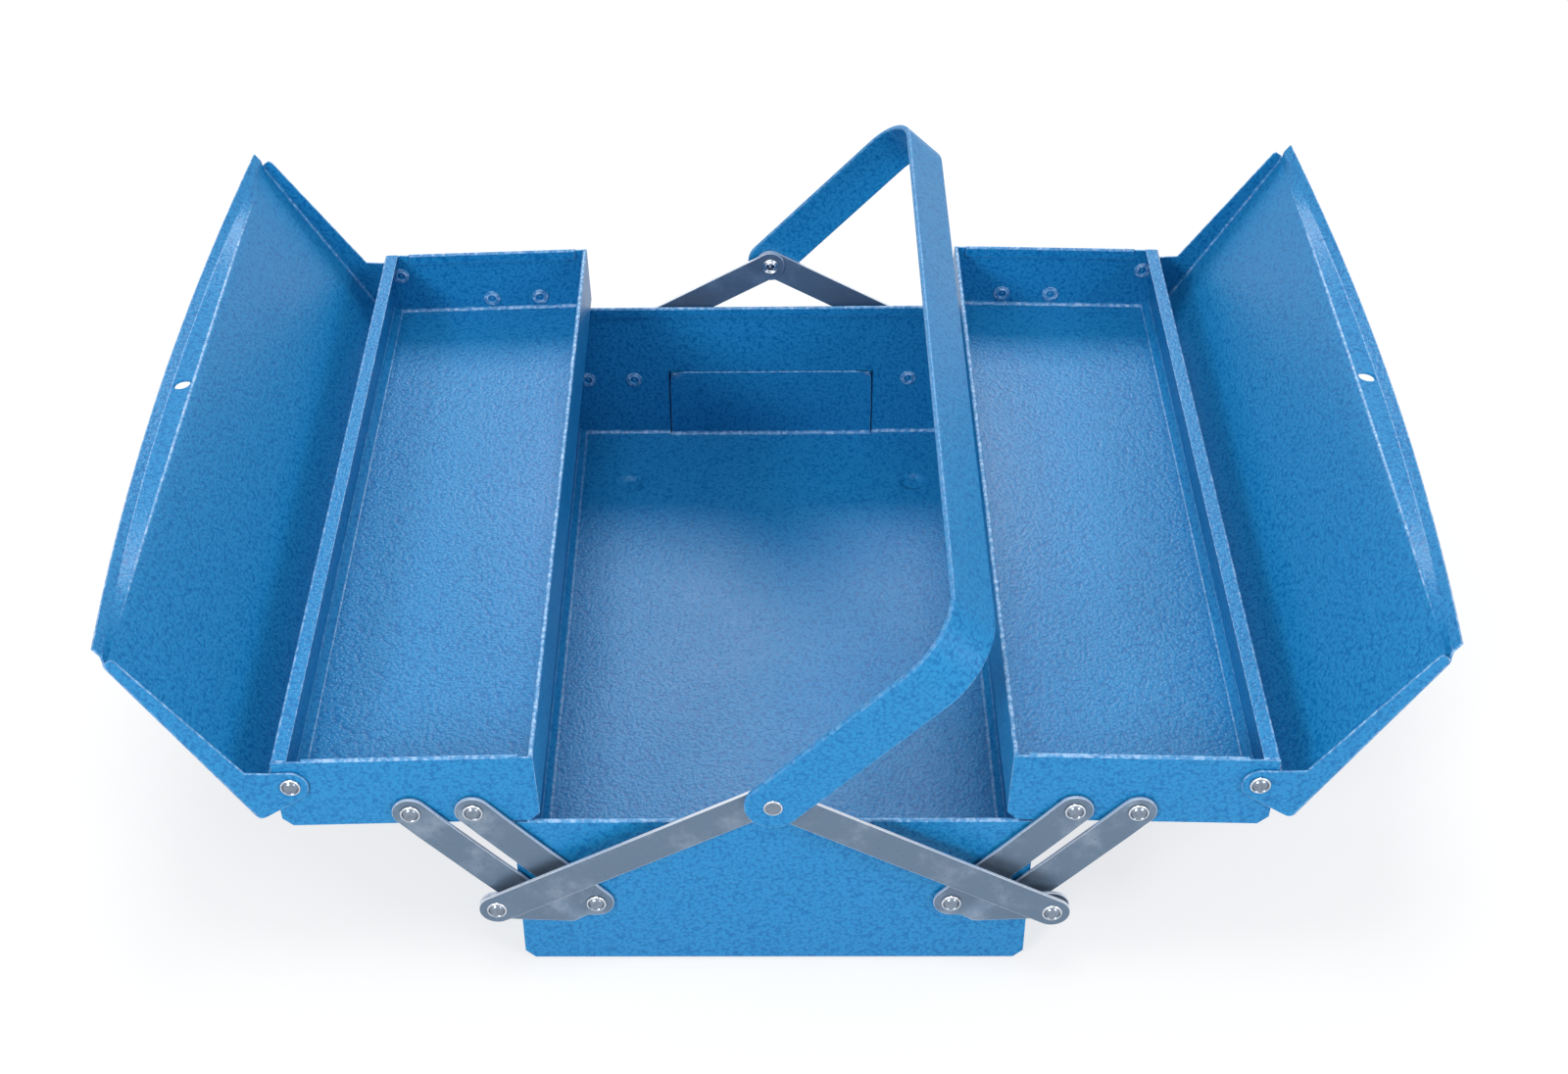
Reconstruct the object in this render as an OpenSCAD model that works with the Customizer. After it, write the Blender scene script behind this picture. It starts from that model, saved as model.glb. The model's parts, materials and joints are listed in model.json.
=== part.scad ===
// Cantilever tool box in folded and painted sheet steel, shown opened out.
// X runs across the box, Y along it, Z up. The origin is under the middle of the base,
// in the plane of the feet. The front end is the one at the lowest Y.
// All sizes are millimetres.

/* [Base] */
// Width of the base across its side walls
base_w = 200; // [180:1:240]
// Length of the base and of both trays
base_l = 356; // [300:1:420]
// Height of the base walls
base_h = 78; // [70:1:95]
// Thickness of every folded sheet
sheet = 1; // [0.8:0.1:1.4]
// Height of the folded hem along a wall's top edge
hem_h = 5; // [3:0.5:7]
// Thickness that a hem adds to its wall
hem_t = 0.9; // [0.6:0.1:1.4]
// Thickness of the hem rolled outwards along the side walls
side_hem_t = 1.6; // [1:0.1:2]
// Length of the chamfer on the lower corners of the end walls
corner_cut = 4; // [2:0.5:8]
// Width of the stiffening tab inside each end wall
tab_w = 102; // [70:1:110]
// Height of the stiffening tab inside each end wall
tab_h = 38; // [25:1:60]

/* [Feet] */
// Depth that the pressed feet stand below the floor
foot_h = 1.5; // [1:0.1:3]
// Diameter of a pressed foot
foot_d = 14; // [10:1:20]
// Distance of the feet from the middle, across the box
foot_x = 71; // [50:1:80]
// Distance of the feet from the middle, along the box
foot_y = 134; // [100:1:140]

/* [Trays] */
// Width of one tray
tray_w = 99.5; // [92:0.5:105]
// Height of the tray walls
tray_h = 34; // [31:1:45]
// Width of the flat flange folded in from the top of the outer wall
flange_w = 6; // [3:0.5:9]
// How far an open tray still reaches over the base
tray_overlap = 11; // [8:0.5:20]
// Angle by which an open tray leans outwards
tray_sag = 1.67; // [0.5:0.01:3]
// Gap between the two trays when they are shut
centre_gap = 0.5; // [0.3:0.1:1.5]

/* [Lids] */
// Width of a lid over its skirt
lid_w = 100; // [92:0.5:105]
// Height of the lid's outer edge over the tray's rim
lid_rise_outer = 10.5; // [8:0.5:16]
// Height of the lid's inner edge over the tray's rim
lid_rise_inner = 3.9; // [3:0.1:7]
// Depth that the lid's end flanges reach below the tray's rim
lid_end_lap = 2.2; // [1:0.1:5]
// Distance of the lid pivot inside the tray's outer face
lid_pivot_in = 6.3; // [5.5:0.1:9]
// Distance of the lid pivot below the tray's rim
lid_pivot_down = 12; // [9:0.5:14]
// Radius of the ears that the lid turns on
ear_r = 6.8; // [5.5:0.1:7]
// Width of the raised lip along the lid's free edge
lip_w = 9.5; // [8:0.5:14]
// Height of the lip over the panel at the middle of the lid
lip_rise = 9; // [8:0.5:14]
// Diameter of the padlock hole
padlock_d = 6.5; // [4:0.5:7]

/* [Links] */
// Width of the links and of the struts
link_w = 14; // [11:0.5:16]
// Thickness of the links and of the struts
link_t = 1.5; // [1.2:0.1:2]
// Height of the base pivots over the floor's underside
base_pivot_up = 34.5; // [30:0.5:45]
// Distance of the inner tray pivot from the base's quarter line, where a shut tray has its middle
tray_pivot_in = 24.7; // [22:0.1:28]
// Distance between the two tray pivots of one end
pivot_gap = 24; // [20:0.5:34]
// Height of the tray pivots over the tray's bottom
tray_pivot_up = 7.3; // [6:0.1:12]
// Length of the drive arm's extension from the base pivot to the strut
extension_l = 38.7; // [32:0.1:45]
// Angle between the drive arm's link and its extension
extension_turn = 45.9; // [40:0.1:52]
// Diameter of the rivet shanks
shank_d = 4; // [3:0.1:5]
// Diameter of the washers between the links and the walls
washer_d = 9; // [8:0.1:10]
// Diameter of the rivet heads
head_d = 8; // [7:0.1:9]
// Height of the domed rivet heads
head_h = 1.4; // [1:0.1:1.6]
// Height of the upset ends inside the walls
upset_h = 1; // [0.6:0.1:1.5]
// Thickness of the washers between the links and the walls
washer_t = 0.6; // [0.4:0.1:1.2]

/* [Handle] */
// Height of the handle's pivot over the floor, with the trays open
handle_pivot_up = 97.5; // [92:0.5:110]
// Distance from the handle's pivot to the outside of its grip
handle_reach = 106.5; // [90:0.5:112]
// Width of the handle strap
strap_w = 22; // [16:0.5:26]
// Thickness of the handle strap
strap_t = 2.5; // [2:0.1:3.5]
// Outer radius of the handle's bends
bend_r = 26; // [12:1:40]
// Angle of the handle over the horizontal, leaning to the right
handle_lean = 46.5; // [35:0.5:90]
// Diameter of the flat rivet head on the handle
flat_head_d = 7; // [6:0.1:9]
// Height of the flat rivet head on the handle
flat_head_h = 0.8; // [0.5:0.1:1.4]

/* [Clearances] */
// Gap between faces that slide past each other
run_gap = 0.3; // [0.25:0.05:0.5]
// Radial gap of a pivot hole round its rivet
pivot_gap_r = 0.05; // [0.03:0.01:0.1]
// Radial gap of the outer link's upper hole, which takes up the linkage's own error
slack_r = 0.35; // [0.25:0.05:0.6]
// Gap between the stiffening tab and the end wall
tab_gap = 0.2; // [0.1:0.1:0.5]

/* [Hidden] */
$fn = 48;

paint = [0.12, 0.42, 0.68];
zinc = [0.55, 0.6, 0.66];
bright = [0.75, 0.77, 0.8];

// Levels and half sizes of the base
rim_z = foot_h + base_h;
half_w = base_w / 2;
half_l = base_l / 2;
inner_l = base_l - 2 * sheet;
hem_inset = 6;
// Distance that a cutting shape reaches past what it cuts
over = 1;

// Tray frame: its origin is the lower inner edge of a tray, on the right of the box
tray_shut_x = centre_gap / 2;
tray_shut_z = rim_z + run_gap;
tray_open_x = half_w - tray_overlap;
tray_open_z = rim_z + run_gap + (tray_overlap + side_hem_t) * sin(tray_sag);
inner_pivot = [half_w / 2 - tray_pivot_in, tray_pivot_up];
outer_pivot = [inner_pivot[0] + pivot_gap, tray_pivot_up];

// A point of the tray frame, in the box's X and Z, with the tray shut or open
function shut(p) = [tray_shut_x + p[0], tray_shut_z + p[1]];
function opened(p) = [
    tray_open_x + p[0] * cos(tray_sag) + p[1] * sin(tray_sag),
    tray_open_z - p[0] * sin(tray_sag) + p[1] * cos(tray_sag)];
function sq(p) = p * p;
function bearing(p) = atan2(p[1], p[0]);
// Place at pivot height that is as far from the tray pivot's shut place as from its open one
function base_pivot_x(p) =
    (sq(opened(p)) - sq(shut(p)) - 2 * base_pivot_z * (opened(p)[1] - shut(p)[1]))
    / (2 * (opened(p)[0] - shut(p)[0]));

base_pivot_z = foot_h + base_pivot_up;
drive_base = [base_pivot_x(inner_pivot), base_pivot_z];
outer_base = [base_pivot_x(outer_pivot), base_pivot_z];
drive_top = opened(inner_pivot);
outer_top = opened(outer_pivot);
drive_open = bearing(drive_top - drive_base);
drive_shut = bearing(shut(inner_pivot) - drive_base);
outer_open = bearing(outer_top - outer_base);
outer_shut = bearing(shut(outer_pivot) - outer_base);
drive_swing = drive_shut - drive_open;
outer_swing = outer_shut - outer_open;

// Outer end of the drive arm's extension, open and shut
function on_circle(r, a) = [r * cos(a), r * sin(a)];
extension_open = drive_base + on_circle(extension_l, drive_open - extension_turn);
extension_shut = drive_base + on_circle(extension_l, drive_shut - extension_turn);
handle_open = [0, foot_h + handle_pivot_up];
strut_l = norm(extension_open - handle_open);
handle_shut = [0, extension_shut[1] + sqrt(strut_l ^ 2 - extension_shut[0] ^ 2)];
strut_open = bearing(handle_open - extension_open);
strut_shut = bearing(handle_shut - extension_shut);

// Layers at each end, as distances outwards from the outer face of the end walls
link_n = washer_t + run_gap;
link_out = link_n + link_t;
head_n = link_out + run_gap;
extension_n = head_n + head_h + run_gap;
extension_out = extension_n + link_t;
left_strut_n = extension_out + run_gap;
left_strut_out = left_strut_n + link_t;
right_strut_n = left_strut_out + run_gap;
right_strut_out = right_strut_n + link_t;
strap_n = right_strut_out + run_gap;
strap_out = strap_n + strap_t;
flat_head_n = strap_out + run_gap;
arm_upset_h = extension_n - link_out - 2 * run_gap;
lid_n = run_gap;
lid_out = lid_n + sheet;
lid_head_n = lid_out + run_gap;
lid_half_l = half_l + lid_out;

// Bend of the drive arm, as distances from the link's axis towards the extension
bend_turn = 45;
bend_start = link_w / 2 + run_gap;
bend_end = bend_start + (extension_n - link_n) / tan(bend_turn);
bend_back = link_t * tan(bend_turn / 2);

// Lid, in the tray frame with the lid shut
lid_pivot = [tray_w - lid_pivot_in, tray_h - lid_pivot_down];
lid_outer_z = tray_h + lid_rise_outer;
lid_inner_z = tray_h + lid_rise_inner;
lid_slope = (lid_outer_z - lid_inner_z) / (lid_w - lip_w);
function panel_z(x) = lid_inner_z + (x - lip_w) * lid_slope;
skirt_z = tray_h + run_gap;
lap_z = tray_h - lid_end_lap;
// The end flange widens to the ear from here, and meets the ear at this bearing
ear_blend = 14;
ear_bearing = 215;
ear_start = lid_pivot[0] - ear_blend;
ear_low = lid_pivot + on_circle(ear_r, ear_bearing);
end_cut = 4;
// The lid stops where its skirt meets the tray's outer wall
skirt_corner = [lid_w, skirt_z] - lid_pivot;
lid_open = bearing(skirt_corner)
    + acos((tray_w + run_gap - lid_pivot[0]) / norm(skirt_corner));
// The lip is an arch along the box, low over both ends of the tray and high at the middle
lip_low_z = tray_h + run_gap + sheet;
lip_high_z = lid_inner_z + lip_rise;
lip_sag = lip_high_z - lip_low_z;
lip_r = (lid_half_l ^ 2 + lip_sag ^ 2) / (2 * lip_sag);
lip_centre_z = lip_high_z - lip_r;
padlock_z = lid_inner_z + (lip_rise - sheet) / 2;
arch_fn = 1440;
small_fn = 96;

// Draws its children on the right of the box, or mirrored on the left
module on_side(right) {
    if (right) children();
    else mirror([1, 0, 0]) children();
}

// Lays a flat shape drawn in X and Z against one end of the box, where Z points outwards
module on_end(front) {
    if (front) translate([0, -half_l, 0]) rotate([90, 0, 0]) children();
    else mirror([0, 1, 0]) translate([0, -half_l, 0]) rotate([90, 0, 0]) children();
}

// Draws its children at both ends
module both_ends() {
    for (front = [true, false]) on_end(front) children();
}

// Moves its children from the tray frame to the open tray
module tray_frame() {
    translate([tray_open_x, 0, tray_open_z]) rotate([0, tray_sag, 0]) children();
}

// Turns its children from the shut lid to the open one
module lid_frame() {
    tray_frame()
        translate([lid_pivot[0], 0, lid_pivot[1]]) rotate([0, lid_open, 0])
            translate([-lid_pivot[0], 0, -lid_pivot[1]]) children();
}

// Slab between two distances outwards
module layer(from, to) {
    translate([0, 0, from]) linear_extrude(to - from) children();
}

// Strip with round ends from a to b
module strip(a, b, w) {
    length = norm(b - a);
    translate(a) rotate(bearing(b - a)) {
        circle(d = w);
        translate([length, 0]) circle(d = w);
        translate([0, -w / 2]) square([length, w]);
    }
}

// Domed head that stands on the plane at distance n
module dome(p, n) {
    ball_r = (head_d ^ 2 / 4 + head_h ^ 2) / (2 * head_h);
    translate([p[0], p[1], n]) intersection() {
        cylinder(d = head_d, h = head_h);
        translate([0, 0, head_h - ball_r]) sphere(r = ball_r, $fn = small_fn);
    }
}

// Rivet at p from an upset end behind distance from to a domed head on distance to
module rivet(p, from, to) {
    translate([p[0], p[1], from - upset_h]) cylinder(d = head_d, h = upset_h);
    translate([p[0], p[1], from]) cylinder(d = shank_d, h = to - from);
    dome(p, to);
}

module washer(p, from, to) {
    layer(from, to) translate(p) difference() {
        circle(d = washer_d);
        circle(d = shank_d);
    }
}

module pivot_hole(p, gap = 0) {
    translate(p) circle(d = shank_d + 2 * gap);
}

// Floor and side walls of the base in one sheet, with rolled hems, end tabs and pressed feet
module base_shell() color(paint) {
    difference() {
        union() {
            rotate([90, 0, 0]) translate([0, 0, -inner_l / 2]) linear_extrude(inner_l) base_section();
            for (x = [-1, 1], y = [-1, 1]) translate([x * foot_x, y * foot_y, 0])
                cylinder(d = foot_d, h = foot_h + sheet);
        }
        for (x = [-1, 1], y = [-1, 1]) translate([x * foot_x, y * foot_y, sheet])
            cylinder(d = foot_d - 2 * sheet, h = foot_h + sheet);
    }
    for (y = [-1, 1]) translate([-tab_w / 2, y * (half_l - 1.5 * sheet - tab_gap) - sheet / 2, foot_h])
        cube([tab_w, sheet, tab_h]);
}

module base_section() {
    difference() {
        base_outline(0, rim_z);
        base_outline(sheet, rim_z + over);
    }
    for (x = [-1, 1]) translate([x * (half_w + side_hem_t / 2), rim_z - hem_h / 2])
        square([side_hem_t, hem_h], center = true);
}

// Outline of the base's cross section, drawn in by a wall and open at the top
module base_outline(wall, top) {
    w = half_w - wall;
    low = foot_h + wall;
    cut = corner_cut - wall * (2 - sqrt(2));
    polygon([[-w, top], [-w, low + cut], [-w + cut, low], [w - cut, low], [w, low + cut], [w, top]]);
}

module base_end(front) color(paint) on_end(front) {
    layer(-sheet, 0) difference() {
        base_outline(0, rim_z);
        for (x = [-1, 1], p = [drive_base, outer_base]) pivot_hole([x * p[0], p[1]]);
    }
    layer(-sheet - hem_t, -sheet)
        translate([-half_w + hem_inset, rim_z - hem_h]) square([base_w - 2 * hem_inset, hem_h]);
}

module base_front_end() base_end(true);
module base_rear_end() base_end(false);

module base_pivot_rivets() color(bright) both_ends()
    for (x = [-1, 1], p = [drive_base, outer_base]) rivet([x * p[0], p[1]], -sheet, head_n);

module base_pivot_washers() color(zinc) both_ends()
    for (x = [-1, 1], p = [drive_base, outer_base]) washer([x * p[0], p[1]], 0, washer_t);

// Bottom and long walls of a tray, with the flat flange on its outer wall
module tray_shell(right) color(paint) on_side(right) tray_frame()
    rotate([90, 0, 0]) translate([0, 0, -inner_l / 2]) linear_extrude(inner_l) {
        difference() {
            tray_outline(0, tray_h);
            tray_outline(sheet, tray_h + over);
        }
        translate([sheet, tray_h - hem_h]) square([hem_t, hem_h]);
        translate([tray_w - flange_w, tray_h - sheet]) square([flange_w, sheet]);
    }

// Outline of a tray's cross section, drawn in by a wall and open at the top
module tray_outline(wall, top) {
    cut = corner_cut - wall * (2 - sqrt(2));
    polygon([[wall, top], [wall, wall + cut], [wall + cut, wall],
        [tray_w - wall - cut, wall], [tray_w - wall, wall + cut], [tray_w - wall, top]]);
}

module tray_end(right, front) color(paint) on_side(right) tray_frame() on_end(front) {
    layer(-sheet, 0) difference() {
        tray_outline(0, tray_h);
        for (p = [inner_pivot, outer_pivot, lid_pivot]) pivot_hole(p);
    }
    layer(-sheet - hem_t, -sheet)
        translate([hem_inset, tray_h - hem_h]) square([tray_w - 2 * hem_inset - flange_w, hem_h]);
}

module left_tray_shell() tray_shell(false);
module right_tray_shell() tray_shell(true);
module left_tray_front_end() tray_end(false, true);
module left_tray_rear_end() tray_end(false, false);
module right_tray_front_end() tray_end(true, true);
module right_tray_rear_end() tray_end(true, false);

module tray_rivets(right) color(bright) on_side(right) tray_frame() both_ends()
    for (p = [inner_pivot, outer_pivot]) rivet(p, -sheet, head_n);

module tray_washers(right) color(zinc) on_side(right) tray_frame() both_ends()
    for (p = [inner_pivot, outer_pivot]) washer(p, 0, washer_t);

module lid_rivets(right) color(bright) on_side(right) tray_frame() both_ends()
    rivet(lid_pivot, -sheet, lid_head_n);

module left_tray_rivets() tray_rivets(false);
module right_tray_rivets() tray_rivets(true);
module left_tray_washers() tray_washers(false);
module right_tray_washers() tray_washers(true);
module left_lid_rivets() lid_rivets(false);
module right_lid_rivets() lid_rivets(true);

// Lid: sloping panel, skirt, arched lip on its step wall, and end flanges with the pivot ears
module lid(right) color(paint) on_side(right) lid_frame() {
    rotate([90, 0, 0]) translate([0, 0, -lid_half_l]) linear_extrude(2 * lid_half_l) lid_section();
    along_x(0, lip_w) arch_band();
    difference() {
        along_x(lip_w - sheet, lip_w) step_shape();
        translate([-over, 0, padlock_z]) rotate([0, 90, 0]) cylinder(d = padlock_d, h = lip_w + 2 * over);
    }
    both_ends() layer(lid_n, lid_out) lid_end_shape();
}

// Carries a flat shape drawn in Y and Z along X
module along_x(from, to) {
    translate([from, 0, 0]) rotate([90, 0, 90]) linear_extrude(to - from) children();
}

module lid_section() {
    polygon([[lip_w - sheet, panel_z(lip_w - sheet)], [lid_w, lid_outer_z], [lid_w, skirt_z],
        [lid_w - sheet, skirt_z], [lid_w - sheet, panel_z(lid_w - sheet) - sheet],
        [lip_w - sheet, panel_z(lip_w - sheet) - sheet]]);
}

module lip_disc(r) {
    translate([0, lip_centre_z]) circle(r = r, $fn = arch_fn);
}

module lip_window(from, to) {
    translate([-lid_half_l, from]) square([2 * lid_half_l, to - from]);
}

module arch_band() {
    intersection() {
        difference() {
            lip_disc(lip_r);
            lip_disc(lip_r - sheet);
        }
        lip_window(lip_low_z - 2 * sheet, lip_high_z + over);
    }
}

// Step wall between the panel's edge and the lip, above the panel at the middle, below at the ends
module step_shape() {
    intersection() {
        lip_disc(lip_r);
        lip_window(lid_inner_z - sheet, lip_high_z + over);
    }
    difference() {
        lip_window(lip_low_z - sheet, lid_inner_z - sheet / 2);
        lip_disc(lip_r - sheet);
    }
}

module lid_end_shape() {
    difference() {
        union() {
            polygon([[end_cut, panel_z(lip_w) - sheet], [lip_w, panel_z(lip_w)],
                [lid_w, lid_outer_z], [lid_w, lid_pivot[1]], lid_pivot, ear_low,
                [ear_start, lap_z], [2 * end_cut, lap_z], [end_cut, lap_z + sheet]]);
            translate(lid_pivot) circle(r = ear_r);
        }
        pivot_hole(lid_pivot, pivot_gap_r);
    }
}

module left_lid() lid(false);
module right_lid() lid(true);

// Drive arm: the inner link and, bent outwards beside it, the extension that works the strut
module drive_arm(right, front) color(zinc) on_side(right) on_end(front) intersection() {
    layer(0, extension_out + over) difference() {
        union() {
            strip(drive_base, drive_top, link_w);
            strip(drive_base, extension_open, link_w);
        }
        pivot_hole(drive_base, pivot_gap_r);
        pivot_hole(drive_top, pivot_gap_r);
        pivot_hole(extension_open);
    }
    translate([drive_base[0], drive_base[1], 0]) rotate(drive_open - 90) bent_sheet();
}

// Sheet that lies in the link's layer and steps out to the extension's, folded beside the link
module bent_sheet() {
    near = -link_w;
    far = extension_l + link_w;
    length = norm(drive_top - drive_base) + 2 * link_w;
    translate([0, length, 0]) rotate([90, 0, 0]) linear_extrude(length + 2 * link_w)
        polygon([[near, link_n], [bend_start, link_n], [bend_end, extension_n], [far, extension_n],
            [far, extension_out], [bend_end - bend_back, extension_out],
            [bend_start - bend_back, link_out], [near, link_out]]);
}

module left_front_drive_arm() drive_arm(false, true);
module left_rear_drive_arm() drive_arm(false, false);
module right_front_drive_arm() drive_arm(true, true);
module right_rear_drive_arm() drive_arm(true, false);

// Inner half of the rivets that join the extensions to the struts
module drive_arm_rivets(right) color(bright) on_side(right) both_ends() {
    layer(extension_n - arm_upset_h, extension_n) translate(extension_open) circle(d = head_d);
    layer(extension_n, extension_out) pivot_hole(extension_open);
}

module left_drive_arm_rivets() drive_arm_rivets(false);
module right_drive_arm_rivets() drive_arm_rivets(true);

module outer_link(right, front) color(zinc) on_side(right) on_end(front)
    layer(link_n, link_out) difference() {
        strip(outer_base, outer_top, link_w);
        pivot_hole(outer_base, pivot_gap_r);
        pivot_hole(outer_top, slack_r);
    }

module left_front_outer_link() outer_link(false, true);
module left_rear_outer_link() outer_link(false, false);
module right_front_outer_link() outer_link(true, true);
module right_rear_outer_link() outer_link(true, false);

// Strut from the extension to the handle's pivot. The right pair lies outside the left pair
module strut(right, front) color(zinc) on_side(right) on_end(front)
    layer(right ? right_strut_n : left_strut_n, right ? right_strut_out : left_strut_out) difference() {
        strip(extension_open, handle_open, link_w);
        pivot_hole(extension_open);
        pivot_hole(handle_open, pivot_gap_r);
    }

module left_front_strut() strut(false, true);
module left_rear_strut() strut(false, false);
module right_front_strut() strut(true, true);
module right_rear_strut() strut(true, false);

// Outer half of the rivets that join the struts to the extensions
module strut_rivets(right) color(bright) on_side(right) both_ends() {
    out = right ? right_strut_out : left_strut_out;
    layer(left_strut_n, out) pivot_hole(extension_open);
    dome(extension_open, out);
}

module left_strut_rivets() strut_rivets(false);
module right_strut_rivets() strut_rivets(true);

module right_strut_spacers() color(zinc) both_ends() washer(extension_open, left_strut_n, right_strut_n);

// Handle: one bent strap, drawn upright over its pivots and leaned to the right
module handle() color(paint) translate([0, 0, handle_open[1]]) rotate([0, 90 - handle_lean, 0]) difference() {
    intersection() {
        rotate([90, 0, 90]) translate([0, 0, -strap_w / 2]) linear_extrude(strap_w) strap_outline();
        rotate([90, 0, 0]) translate([0, 0, -base_l]) linear_extrude(2 * base_l)
            strip([0, 0], [0, handle_reach + strap_w], strap_w);
    }
    rotate([90, 0, 0]) translate([0, 0, -base_l]) linear_extrude(2 * base_l)
        pivot_hole([0, 0], pivot_gap_r);
}

// The strap seen along X: two arms and a grip with round bends
module strap_outline() {
    difference() {
        rounded_top(half_l + strap_out, handle_reach, bend_r, strap_w);
        rounded_top(half_l + strap_n, handle_reach - strap_t, bend_r - strap_t, strap_w + over);
    }
}

module rounded_top(half, top, r, low) {
    translate([-half, -low]) square([2 * half, low + top - r]);
    translate([-half + r, -low]) square([2 * (half - r), low + top]);
    for (y = [-1, 1]) translate([y * (half - r), top - r]) circle(r = r, $fn = small_fn);
}

// Rivets at the middle, through both struts and the handle
module handle_rivets() color(bright) both_ends() {
    inner_n = left_strut_n - run_gap;
    translate([0, handle_open[1], inner_n - head_h]) cylinder(d = head_d, h = head_h);
    translate([0, handle_open[1], inner_n]) cylinder(d = shank_d, h = flat_head_n - inner_n);
    translate([0, handle_open[1], flat_head_n]) cylinder(d = flat_head_d, h = flat_head_h);
}

base_shell();
base_front_end();
base_rear_end();
base_pivot_rivets();
base_pivot_washers();
left_tray_shell();
left_tray_front_end();
left_tray_rear_end();
left_tray_rivets();
left_tray_washers();
left_lid();
left_lid_rivets();
right_tray_shell();
right_tray_front_end();
right_tray_rear_end();
right_tray_rivets();
right_tray_washers();
right_lid();
right_lid_rivets();
left_front_drive_arm();
left_rear_drive_arm();
left_drive_arm_rivets();
right_front_drive_arm();
right_rear_drive_arm();
right_drive_arm_rivets();
left_front_outer_link();
left_rear_outer_link();
right_front_outer_link();
right_rear_outer_link();
left_front_strut();
left_rear_strut();
left_strut_rivets();
right_front_strut();
right_rear_strut();
right_strut_rivets();
right_strut_spacers();
handle();
handle_rivets();
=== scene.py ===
"""Finish of a small two-tray cantilever tool box in hammered blue paint, laid out as an add-on.

Lengths are metres. X runs across the box, Y along it and Z up, and the front end is the one at
the lowest Y. Every sheet is a surface of two parameters on a grid, given its thickness and a
rounded rim, and every rivet is a profile turned about its axis.
"""

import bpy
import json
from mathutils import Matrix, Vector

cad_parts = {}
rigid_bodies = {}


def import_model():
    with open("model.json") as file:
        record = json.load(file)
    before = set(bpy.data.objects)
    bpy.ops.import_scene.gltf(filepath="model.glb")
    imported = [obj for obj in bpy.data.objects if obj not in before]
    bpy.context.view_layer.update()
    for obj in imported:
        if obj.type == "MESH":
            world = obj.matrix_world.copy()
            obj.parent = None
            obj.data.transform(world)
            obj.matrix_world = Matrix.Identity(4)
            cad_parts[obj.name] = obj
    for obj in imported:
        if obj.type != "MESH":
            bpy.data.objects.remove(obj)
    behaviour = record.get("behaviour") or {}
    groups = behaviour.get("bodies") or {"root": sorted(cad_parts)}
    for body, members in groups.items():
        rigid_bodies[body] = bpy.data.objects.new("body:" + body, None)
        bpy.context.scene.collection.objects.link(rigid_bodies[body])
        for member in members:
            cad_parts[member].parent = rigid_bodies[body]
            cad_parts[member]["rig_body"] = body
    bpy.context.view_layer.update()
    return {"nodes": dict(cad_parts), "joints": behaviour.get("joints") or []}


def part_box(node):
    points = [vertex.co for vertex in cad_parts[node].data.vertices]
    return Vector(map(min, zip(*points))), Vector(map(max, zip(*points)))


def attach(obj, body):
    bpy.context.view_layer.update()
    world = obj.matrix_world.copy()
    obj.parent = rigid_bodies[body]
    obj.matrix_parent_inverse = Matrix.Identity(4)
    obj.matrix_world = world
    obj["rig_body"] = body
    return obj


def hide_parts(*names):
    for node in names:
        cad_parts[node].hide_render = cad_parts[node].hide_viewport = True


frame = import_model()

import json
import math

import bpy
import numpy as np
from mathutils import Matrix, Vector

bl_info = {
    "name": "Cantilever Tool Box",
    "version": (1, 0, 0),
    "blender": (4, 5, 0),
    "location": "View3D > Sidebar > Tool Box",
    "description": "Builds the painted, folded and riveted pieces of a cantilever tool box",
    "category": "Object",
}

MM = 0.001
JOINTS = {joint["name"]: joint for joint in frame["joints"]}

# Height of the slow waves that the folded sheets keep
FLOOR_WAVE = 0.28 * MM
WALL_WAVE = 0.2 * MM
END_WAVE = 0.12 * MM

# Share of the room in a hem that its sheet fills
HEM_FILL = 0.97
BASE_HEM_FILL = 0.98

# Share of a strip's half width that the arcs of its round ends have as radius
NEARLY_ROUND = 0.999

# Distance within which a point counts as lying on a face
HAIR = 0.01 * MM

# Distance that the even columns of a grid keep from its fixed ones
COLUMN_ROOM = 0.6 * MM

# Least distance between two places of one row of stations
CLOSEST = 0.05 * MM


def pivot(joint):
    """X and Z of a joint's axis."""
    place = JOINTS[joint]["pos_m"]
    return np.array([place[0], place[2]])


def middle(node):
    """X and Z of the middle of a node's box."""
    low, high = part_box(node)
    return np.array([low.x + high.x, low.z + high.z]) / 2


def layer(node):
    """Nearest and furthest distance of a front node outwards from the outer face of the front end."""
    low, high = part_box(node)
    return -high.y - HALF_L, -low.y - HALF_L


END_LOW, END_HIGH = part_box("base_front_end")
HALF_W = END_HIGH.x
HALF_L = -END_LOW.y
FLOOR_Z = END_LOW.z
RIM_Z = END_HIGH.z
SIDE_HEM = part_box("base_shell")[1].x - HALF_W
DRIVE_BASE = pivot("right_arm_swing")
OUTER_BASE = pivot("right_link_swing")
DRIVE_TOP = pivot("right_tray_swing")
LID_PIVOT = pivot("right_lid_swing")
HANDLE_PIVOT = pivot("handle_swing")
STRUT_END = middle("right_drive_arm_rivets")
LID_TURN = math.radians(JOINTS["right_lid_swing"]["range_deg"][1])
LINK_N = layer("right_front_outer_link")
STRUT_N = {True: layer("right_front_strut"), False: layer("left_front_strut")}
STRAP_OUT = layer("handle")[1]
WASHER_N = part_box("base_pivot_washers")[1].y - HALF_L
EXTENSION_OUT = layer("right_front_drive_arm")[1]
LID_HALF_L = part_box("right_lid")[1].y
SIDES = {"right": True, "left": False}
ENDS = {"front": True, "rear": False}


def length(name, millimetres, description):
    """A length that a user may change, given in millimetres."""
    return bpy.props.FloatProperty(name=name, description=description, default=millimetres * MM,
                                   min=0, precision=5, unit="LENGTH", subtype="DISTANCE")


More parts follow.
